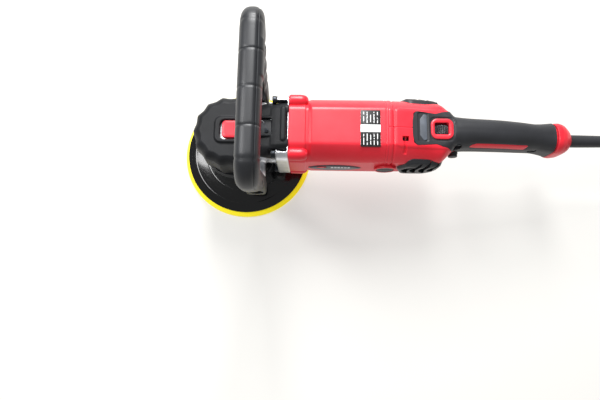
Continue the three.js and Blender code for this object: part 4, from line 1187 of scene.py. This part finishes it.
def make_rear_body():
    """Two red half shells that meet in a fine seam down the middle, the black rubber over them,
    and the screws that hold them."""
    x = np.r_[150, 150.4, np.linspace(151, 156, 11), np.linspace(157, 216, 60), np.linspace(218, 334, 76)]
    band = eased((x - 150.6) / 0.6) * eased((154.2 - x) / 0.8)
    dip = np.exp(-(((x - 155.2) / 0.8) ** 2))
    panel_start = eased((x - 156.2) / 1.2)
    reach = grip_reach(x)
    size = half_girth(x)
    cuts = shell_cuts()
    cuts.append(block(163.0, 169.6, -13.6, -8.4, 105.5, 124, 0.5, 0.1))
    # The openings behind the intake covers.
    leaf = spread(softened(VENT_LEAF, 5.0, True, 9), 120)
    opening = prism(VENT_MIDDLE + 0.86 * (leaf - VENT_MIDDLE), 22, 60, 0.1, "y")
    cuts.extend([opening, mirrored(opening)])
    cuts += [rod(11.3, y0, y1, "y", BRUSH_AXIS, 48, 0.1) for y0, y1 in ((18, 60), (-60, -18))]
    for side, name in ((-1, "left"), (1, "right")):
        # From the bottom seam up the side to the top seam; the turn is 0.75 at the bottom.
        t = np.linspace(0, 1, 150)
        t = t - 0.012 * np.sin(2 * np.pi * t)
        turn = 0.75 - 0.5 * t if side < 0 else 0.75 + 0.5 * t
        skin = rear_skin(x, turn)
        inside = in_rounded_box(skin[..., 0] - 196, skin[..., 1], 40, 20.5, 6)
        crown = eased(inside / 1.4) * (skin[..., 2] > MOTOR_Z) * panel_start[:, None]
        within = (reach[:, None] - np.abs((turn - 0.25 + 0.5) % 1 - 0.5)[None, :]) * 2 * size[:, None]
        under = eased((np.minimum(within, (x - 173)[:, None]) - 0.9) / 1.2)
        stand = 0.35 * band[:, None] - 0.9 * dip[:, None] + 0.45 * crown - 2.35 * under
        # A sunk channel runs from the front screw down the chamfer on the left side.
        if side < 0:
            ditch = in_rounded_box(skin[..., 0] - 166.3, skin[..., 1] + 19, 1.7, 6.5, 0.9)
            stand = stand - 1.3 * eased(ditch / 0.9) * (skin[..., 2] > MOTOR_Z)
        near = np.minimum(t, 1 - t)[None, :]
        stand = stand - 0.45 * (1 - eased(near / 0.006)) - 0.15
        outer = pushed(calmed(skin, 1, closed=False), stand)
        outer[:, 0, 1] = outer[:, -1, 1] = side * SEAM
        inner = rear_skin(x, turn, -SHELL_WALL)
        inner[:, 0, 1] = inner[:, -1, 1] = side * SEAM
        shell = combined(f"rear_case_{name}", [wall(outer, inner)], cuts)
        place(shell, "housing", "red nylon", (f"rear_shell_{name}",), 30)

    # The rubber: a closed sheet whose edge dips under the red all round.
    x = np.r_[172.2, 172.6, 173.0, 173.5, 174, 174.8, np.linspace(176, 318, 150), 319.3, 319.8, 320.1]
    v = np.linspace(-1, 1, 241)
    v = np.sign(v) * (1 - (1 - np.abs(v)) ** 1.15)
    reach = grip_reach(x)
    turn = 0.25 - reach[:, None] * v[None, :]
    top = rear_skin(x, turn)
    size = half_girth(x)
    closes = eased((reach - 0.44) / 0.05)[:, None]
    from_side = (1 - np.abs(v))[None, :] * reach[:, None] * 2 * size[:, None] + 30 * closes
    from_front = np.broadcast_to((x - 172.6)[:, None], from_side.shape)
    from_back = np.broadcast_to((320.1 - x)[:, None], from_side.shape)
    round_by = 6.5
    depth = round_by - np.hypot(np.maximum(round_by - from_side, 0), np.maximum(round_by - from_front, 0))
    depth = np.minimum(depth, from_back + 0.2)
    stand = -0.5 + 1.25 * eased(depth / 0.9)
    # A hollow frames the slate panel, and a shallow channel lies round the dial's ring.
    px, py = top[..., 0], top[..., 1]
    upper = top[..., 2] > 92
    tray = in_rounded_box(px - 183.6, py - 1.2, 5.4, 15.2, 2.5)
    stand = stand - 0.9 * eased(tray / 0.8) * upper
    collar = in_rounded_box(px - DIAL_X, py, 12.4, 12.4, 5.5)
    stand = stand - 0.7 * eased(collar / 1.0) * upper
    # The grip's sides swell a little by its end, for the last finger.
    stand = stand + 0.25 * eased((px - 300) / 6) * eased((322 - px) / 4) * (np.abs(v)[None, :] > 0.3)
    # A shallow flat for the accent strip on each side.
    side_turn = np.abs(turn - 0.25)
    strip = in_rounded_box(
        px - 261, (side_turn - 0.153 - FAR_STRIP_TURN * (turn < 0.25)) * 190, 29.5, 3.9, 1.5
    )
    stand = stand - 0.55 * eased(strip / 0.8)
    outer = pushed(calmed(top, 1, closed=False), stand)
    inner = rear_skin(x, turn, -RUBBER)
    place(
        combined("grip_rubber", [wall(outer, inner)], shell_cuts()),
        "housing",
        "grip rubber",
        ("grip_left", "grip_right"),
        34,
    )

    # The slate panel, a long hexagon, cambered, and the red strips let into the grip's sides.
    outline = np.array(
        [(187.6, -11.3), (187.6, 13.6), (184.6, 14.6), (180.2, 9.0), (180.2, -7.2), (184.6, -12.6)]
    )
    flat = spread(softened(outline, 1.3, True, 6), 96)
    place(raw("slate_panel", [prism(flat, 106.6, 109.25, 0.7)]), "housing", "slate rubber")
    for side, name in ((-1, "left"), (1, "right")):
        x = np.r_[231, 231.6, 232.4, np.linspace(234, 287, 60), 288.2, 289, 289.5]
        middle = 0.25 + 0.1525
        u = np.linspace(-1, 1, 15)
        half = 0.0165 * np.minimum(1, ((x - 229.5) / 8) ** 0.8)
        t = middle + u[None, :] * half[:, None] + 0.004 * (1 - eased((x - 231) / 6))[:, None]
        if side > 0:
            t = 0.5 - t - FAR_STRIP_TURN
        # The strip rounds over within 1 mm of its ends and a fifth of its half-width of its sides.
        by_ends = np.minimum(np.minimum(x - 230.6, 290.0 - x), 1)
        rounding = by_ends[:, None] * np.minimum(1, (1 - np.abs(u)) * 5)[None, :]
        face = rear_skin(x, t, 0)
        face[..., 0] -= 1.6 * (u[None, :] * (1 if side < 0 else -1)) * eased((x - 280) / 8)[:, None]
        outer = pushed(face, 0.15 + 0.55 * eased(rounding))
        inner = pushed(face, -1.2)
        place(raw(f"accent_strip_{name}", [wall(outer, inner)]), "housing", "red nylon")

    for i, (x, z, head, end) in enumerate(SHELL_SCREWS, 1):
        screw = turned(
            [(0, head - 3), (3.9, head - 3), (4, head - 0.05), (2, head - 0.05), (2, end), (0, end)],
            "y",
            (x, z),
            36,
            0.4,
        )
        cross = [
            block(x - 2.2, x + 2.2, head - 4, head - 1.6, z - 0.45, z + 0.45, 0.2, 0.1),
            block(x - 0.45, x + 0.45, head - 4, head - 1.6, z - 2.2, z + 2.2, 0.2, 0.1),
        ]
        place(combined(f"case_screw_{i}", [screw], cross), "housing", "oxide steel", (f"shell_screw_{i}",))


def make_vents():
    """The intake covers: a leaf-shaped shell over each side of the body, with four curved louvres
    cut through it."""
    outline = spread(softened(VENT_LEAF, 5.0, True, 9), 240)
    # Rings from the middle of the leaf out to its edge; each is the outline shrunk towards the middle.
    share = np.r_[np.linspace(0.02, 0.9, 30), 0.93, 0.96, 0.985, 1.0]
    flat = VENT_MIDDLE + share[:, None, None] * (outline - VENT_MIDDLE)
    x, z = flat[..., 0], flat[..., 1]
    zc, hw, hh, k = rear_sizes(x)
    # The body's half-width at a height: full on the flat side, falling round the corner above.
    over = np.clip(np.abs(z - zc) - (hh - k), 0, k * 0.995)
    body = hw - k + np.sqrt(np.maximum(k**2 - over**2, 1)) - 0.40 * over
    edge = eased((1 - share) / 0.1)[:, None]
    outer_y = body + 0.2 + 2.6 * edge + 0.5 * eased((1 - share) / 0.5)[:, None]
    inner_y = body - 1.4
    louvres = []
    for cx, cz, size in ((172.5, 82, 10.5), (180.5, 85, 13), (189.5, 85, 13), (198, 84, 10)):
        t = np.linspace(-1, 1, 40)
        path_x = cx + 5.0 * t**2 - 2.2 + 1.2 * t
        path_z = cz + size * t
        thick = 3.0 * np.sqrt(np.clip(1 - t**2, 0.0, 1)) + 0.15
        ring = np.concatenate(
            [np.stack([path_x - thick, path_z], -1), np.stack([path_x + thick, path_z], -1)[::-1]]
        )
        louvres.append(prism(spread(ring, 120), 17, 60, 0.05, "y"))
    shape = wall(np.stack([x, outer_y, z], -1), np.stack([x, inner_y, z], -1), closed=True)
    # Close the small hole at the leaf's middle by a plug of the same wall.
    middle = rod(1.4, inner_y[0].mean(), outer_y[0].mean(), "y", VENT_MIDDLE, 32, 0.05)
    for name, turn in (("right", lambda s: s), ("left", mirrored)):
        cover = combined(f"intake_cover_{name}", [turn(shape), turn(middle)], [turn(s) for s in louvres])
        place(cover, "housing", "black nylon", (f"vent_cover_{name}",), 40)


def make_controls():
    """The dial's ring and ribbed wheel, the trigger and the lock-on button."""
    turn = np.arange(120) / 120
    y, v = rounded(10.9, 10.3, 6.4, turn)
    v_in = rounded(7.0, 5.9, 1.8, turn)
    ring_out = np.stack([y[0] + 202.3, v[0]], -1)
    ring_in = np.stack([v_in[0][0] + 202.0, v_in[1][0] + 0.3], -1)
    levels = [(0.0, 104.9), (0.0, 108.0), (0.35, 108.7), (1.2, 109.0), (2.2, 109.05)]
    toward = ring_in - ring_out
    toward /= np.linalg.norm(toward, axis=1, keepdims=True)
    rings = [np.column_stack([ring_out + toward * d, np.full(120, h)]) for d, h in levels]
    rings += [
        np.column_stack([ring_in - toward * d, np.full(120, h)])
        for d, h in ((0.9, 108.9), (0.2, 108.5), (0.0, 107.9), (0.0, 104.9))
    ]
    place(raw("dial_bezel", [loft(rings, hollow=True)]), "housing", "red nylon", ("dial_ring",))
    # The wheel: its radius rises and falls into forty soft teeth, fading at its rims.
    across = np.array([-4.9, -4.7, -4.2, -3.4, -2, 0, 2, 3.4, 4.2, 4.7, 4.9])
    base = np.array([9, 11.0, 11.55, 11.75, 11.8, 11.8, 11.8, 11.75, 11.55, 11.0, 9])
    tooth = np.array([0, 0.1, 0.5, 1, 1, 1, 1, 1, 0.5, 0.1, 0])
    angle = np.linspace(0, 2 * np.pi, 400, endpoint=False)
    radius = base[:, None] - 0.55 * tooth[:, None] * (0.5 + 0.5 * np.cos(angle * 40))[None]
    x, z = DIAL_X + radius * np.cos(angle), DIAL_Z + radius * np.sin(angle)
    wheel = loft(np.stack([x, np.repeat(across[:, None], 400, 1), z], -1))
    place(raw("dial_wheel", [wheel]), "dial", "gloss knob", ("speed_dial",))
    outline = [
        (223.5, 71.5), (223.5, 78.5), (232, 79), (237, 77), (273, 76.5), (273.5, 70), (268, 62.5),
        (250, 60.5), (233, 62.5), (226, 68),
    ]  # fmt: skip
    flat = spread(softened(outline, 3.0, True, 7), 160)
    place(
        raw("trigger_lever", [prism(flat, -7.5, 7.5, 1.6, "y")]), "trigger", "black nylon", ("trigger",), 40
    )
    knob = turned(
        [(0, -20.5), (4.6, -20.5), (4.6, -17.6), (5, -17.2), (5, -11), (0, -11)], "y", LOCK_ON_AXIS, 48, 0.8
    )
    grooves = [
        block(214, 226, -24, -20.1, MOTOR_Z + a - 0.3, MOTOR_Z + a + 0.3, 0.2, 0.05) for a in (-2, 0, 2)
    ]
    place(combined("lock_on_knob", [knob], grooves), "lock_on", "black nylon", ("lock_on_button",))


def make_tail():
    """The red cap at the grip's end: the body's own skin, slanted where it meets the rubber,
    rounding down to the guard's collar."""
    x = np.r_[320.4, 320.7, 321.2, np.linspace(322, 337, 32), 338, 339, 339.8, 340.4, 340.8, 341]
    turn = np.arange(144) / 144
    skin = rear_skin(x, turn)
    fade = (1 - eased((x - 320.4) / 9))[:, None]
    height = (skin[..., 2] - TAIL_Z) / 20
    skin[..., 0] += 1.6 * height * fade
    # A low lip stands over the rubber's end and dies away towards the guard.
    lip = (0.55 * eased((x - 320.4) / 0.8) * (1 - eased((x - 337) / 4)))[:, None] - 0.1
    outer = pushed(calmed(skin, 2), lip, closed=True)
    angle = np.arctan2(skin[..., 2] - TAIL_Z, skin[..., 1])
    bore = through(x, [320, 333, 336.4, 337, 343], [11, 10.6, 8.6, 6.7, 6.7])[:, None]
    inner = np.stack([outer[..., 0], bore * np.cos(angle), TAIL_Z + bore * np.sin(angle)], -1)
    place(raw("end_cap", [wall(outer, inner, closed=True)]), "housing", "red nylon", ("tail_cap",), 34)


# ---------------------------------------------------------------- inside parts

INSIDE = {
    "ground steel": (
        "pad_arbor", "pad_bearing", "spindle", "bevel_gear", "bevel_pinion", "spindle_bearing_lower",
        "spindle_bearing_upper", "motor_shaft", "motor_bearing_front", "motor_bearing_rear", "lock_spring",
    ),
    "oxide steel": ("counterweight",),
    "cast aluminium": ("bearing_plate",),
    "lamination steel": ("stator",),
    "copper": ("armature_core", "commutator"),
    "black nylon": ("cooling_fan", "trigger_switch"),
    "brass": ("brush_holder_left", "brush_holder_right"),
    "carbon": ("carbon_brush_left", "carbon_brush_right"),
    "board": ("control_board",),
}  # fmt: skip


def make_inside():
    """The parts inside keep their solids and take the finishes of their metals and plastics."""
    for material, nodes in INSIDE.items():
        for node in nodes:
            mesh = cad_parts[node].data
            mesh.materials.clear()
            mesh.materials.append(finishes()[material])


# ---------------------------------------------------------------- add-on


class PolisherSettings(bpy.types.PropertyGroup):
    """Sizes and colours of the polisher that may be changed before its pieces are made."""

    pad_radius: FloatProperty(
        name="Pad radius", description="Radius of the foam pad at its face", default=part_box("foam_pad")[1].x,
        min=0.05, max=0.09, unit="LENGTH",
    )  # fmt: skip
    body_colour: FloatVectorProperty(
        name="Body colour", description="sRGB colour of the moulded body", default=(0.886, 0.106, 0.176),
        size=3, min=0, max=1, subtype="COLOR_GAMMA",
    )  # fmt: skip
    foam_colour: FloatVectorProperty(
        name="Foam colour", description="sRGB colour of the foam pad", default=(1.0, 0.925, 0.0),
        size=3, min=0, max=1, subtype="COLOR_GAMMA",
    )  # fmt: skip


class StageOperator(bpy.types.Operator):
    """Make the floor, the lights and the camera"""

    bl_idname = "polisher.stage"
    bl_label = "Stage"

    def execute(self, context):
        make_stage()
        return {"FINISHED"}


class LeadOperator(bpy.types.Operator):
    """Make the lead, its guard, its strap and its plug"""

    bl_idname = "polisher.lead"
    bl_label = "Lead and plug"

    def execute(self, context):
        make_lead()
        return {"FINISHED"}


class PadOperator(bpy.types.Operator):
    """Make the foam pad, its plate and the shroud"""

    bl_idname = "polisher.pad"
    bl_label = "Pad and shroud"

    def execute(self, context):
        make_pad()
        return {"FINISHED"}


class GearHeadOperator(bpy.types.Operator):
    """Make the cast gear housing and its screws"""

    bl_idname = "polisher.gear_head"
    bl_label = "Gear head"

    def execute(self, context):
        make_gear_head()
        return {"FINISHED"}


class BootOperator(bpy.types.Operator):
    """Make the rubber boot and the spindle lock button"""

    bl_idname = "polisher.boot"
    bl_label = "Boot and lock button"

    def execute(self, context):
        make_boot()
        return {"FINISHED"}


class HandleOperator(bpy.types.Operator):
    """Make the two halves of the D-handle and its bolts"""

    bl_idname = "polisher.handle"
    bl_label = "D-handle"

    def execute(self, context):
        make_handle()
        return {"FINISHED"}


class MotorOperator(bpy.types.Operator):
    """Make the motor housing, its label, badges and brush caps"""

    bl_idname = "polisher.motor"
    bl_label = "Motor housing"

    def execute(self, context):
        make_motor_housing()
        return {"FINISHED"}


class RearBodyOperator(bpy.types.Operator):
    """Make the rear shells, the rubber grip and their screws"""

    bl_idname = "polisher.rear_body"
    bl_label = "Rear body and grip"

    def execute(self, context):
        make_rear_body()
        return {"FINISHED"}


class VentOperator(bpy.types.Operator):
    """Make the two intake covers"""

    bl_idname = "polisher.vents"
    bl_label = "Intake covers"

    def execute(self, context):
        make_vents()
        return {"FINISHED"}


class ControlsOperator(bpy.types.Operator):
    """Make the speed dial, the trigger and the lock-on button"""

    bl_idname = "polisher.controls"
    bl_label = "Controls"

    def execute(self, context):
        make_controls()
        return {"FINISHED"}


class TailOperator(bpy.types.Operator):
    """Make the cap at the end of the grip"""

    bl_idname = "polisher.tail"
    bl_label = "End cap"

    def execute(self, context):
        make_tail()
        return {"FINISHED"}


class InsideOperator(bpy.types.Operator):
    """Give the parts inside their finishes"""

    bl_idname = "polisher.inside"
    bl_label = "Inside parts"

    def execute(self, context):
        make_inside()
        return {"FINISHED"}


STEPS = (
    StageOperator, LeadOperator, PadOperator, GearHeadOperator, BootOperator, HandleOperator, MotorOperator,
    RearBodyOperator, VentOperator, ControlsOperator, TailOperator, InsideOperator,
)  # fmt: skip


class PolisherPanel(bpy.types.Panel):
    """The polisher's settings and the steps that make it"""

    bl_idname = "VIEW3D_PT_polisher"
    bl_label = "Polisher"
    bl_space_type = "VIEW_3D"
    bl_region_type = "UI"
    bl_category = "Polisher"

    def draw(self, context):
        for name in ("pad_radius", "body_colour", "foam_colour"):
            self.layout.prop(context.scene.polisher, name)
        for step in STEPS:
            self.layout.operator(step.bl_idname)


CLASSES = (PolisherSettings, *STEPS, PolisherPanel)


def register():
    for kind in CLASSES:
        bpy.utils.register_class(kind)
    bpy.types.Scene.polisher = PointerProperty(type=PolisherSettings)


def unregister():
    del bpy.types.Scene.polisher
    for kind in reversed(CLASSES):
        bpy.utils.unregister_class(kind)


def main():
    register()
    for step in STEPS:
        group, name = step.bl_idname.split(".")
        getattr(getattr(bpy.ops, group), name)()


if __name__ == "__main__":
    main()
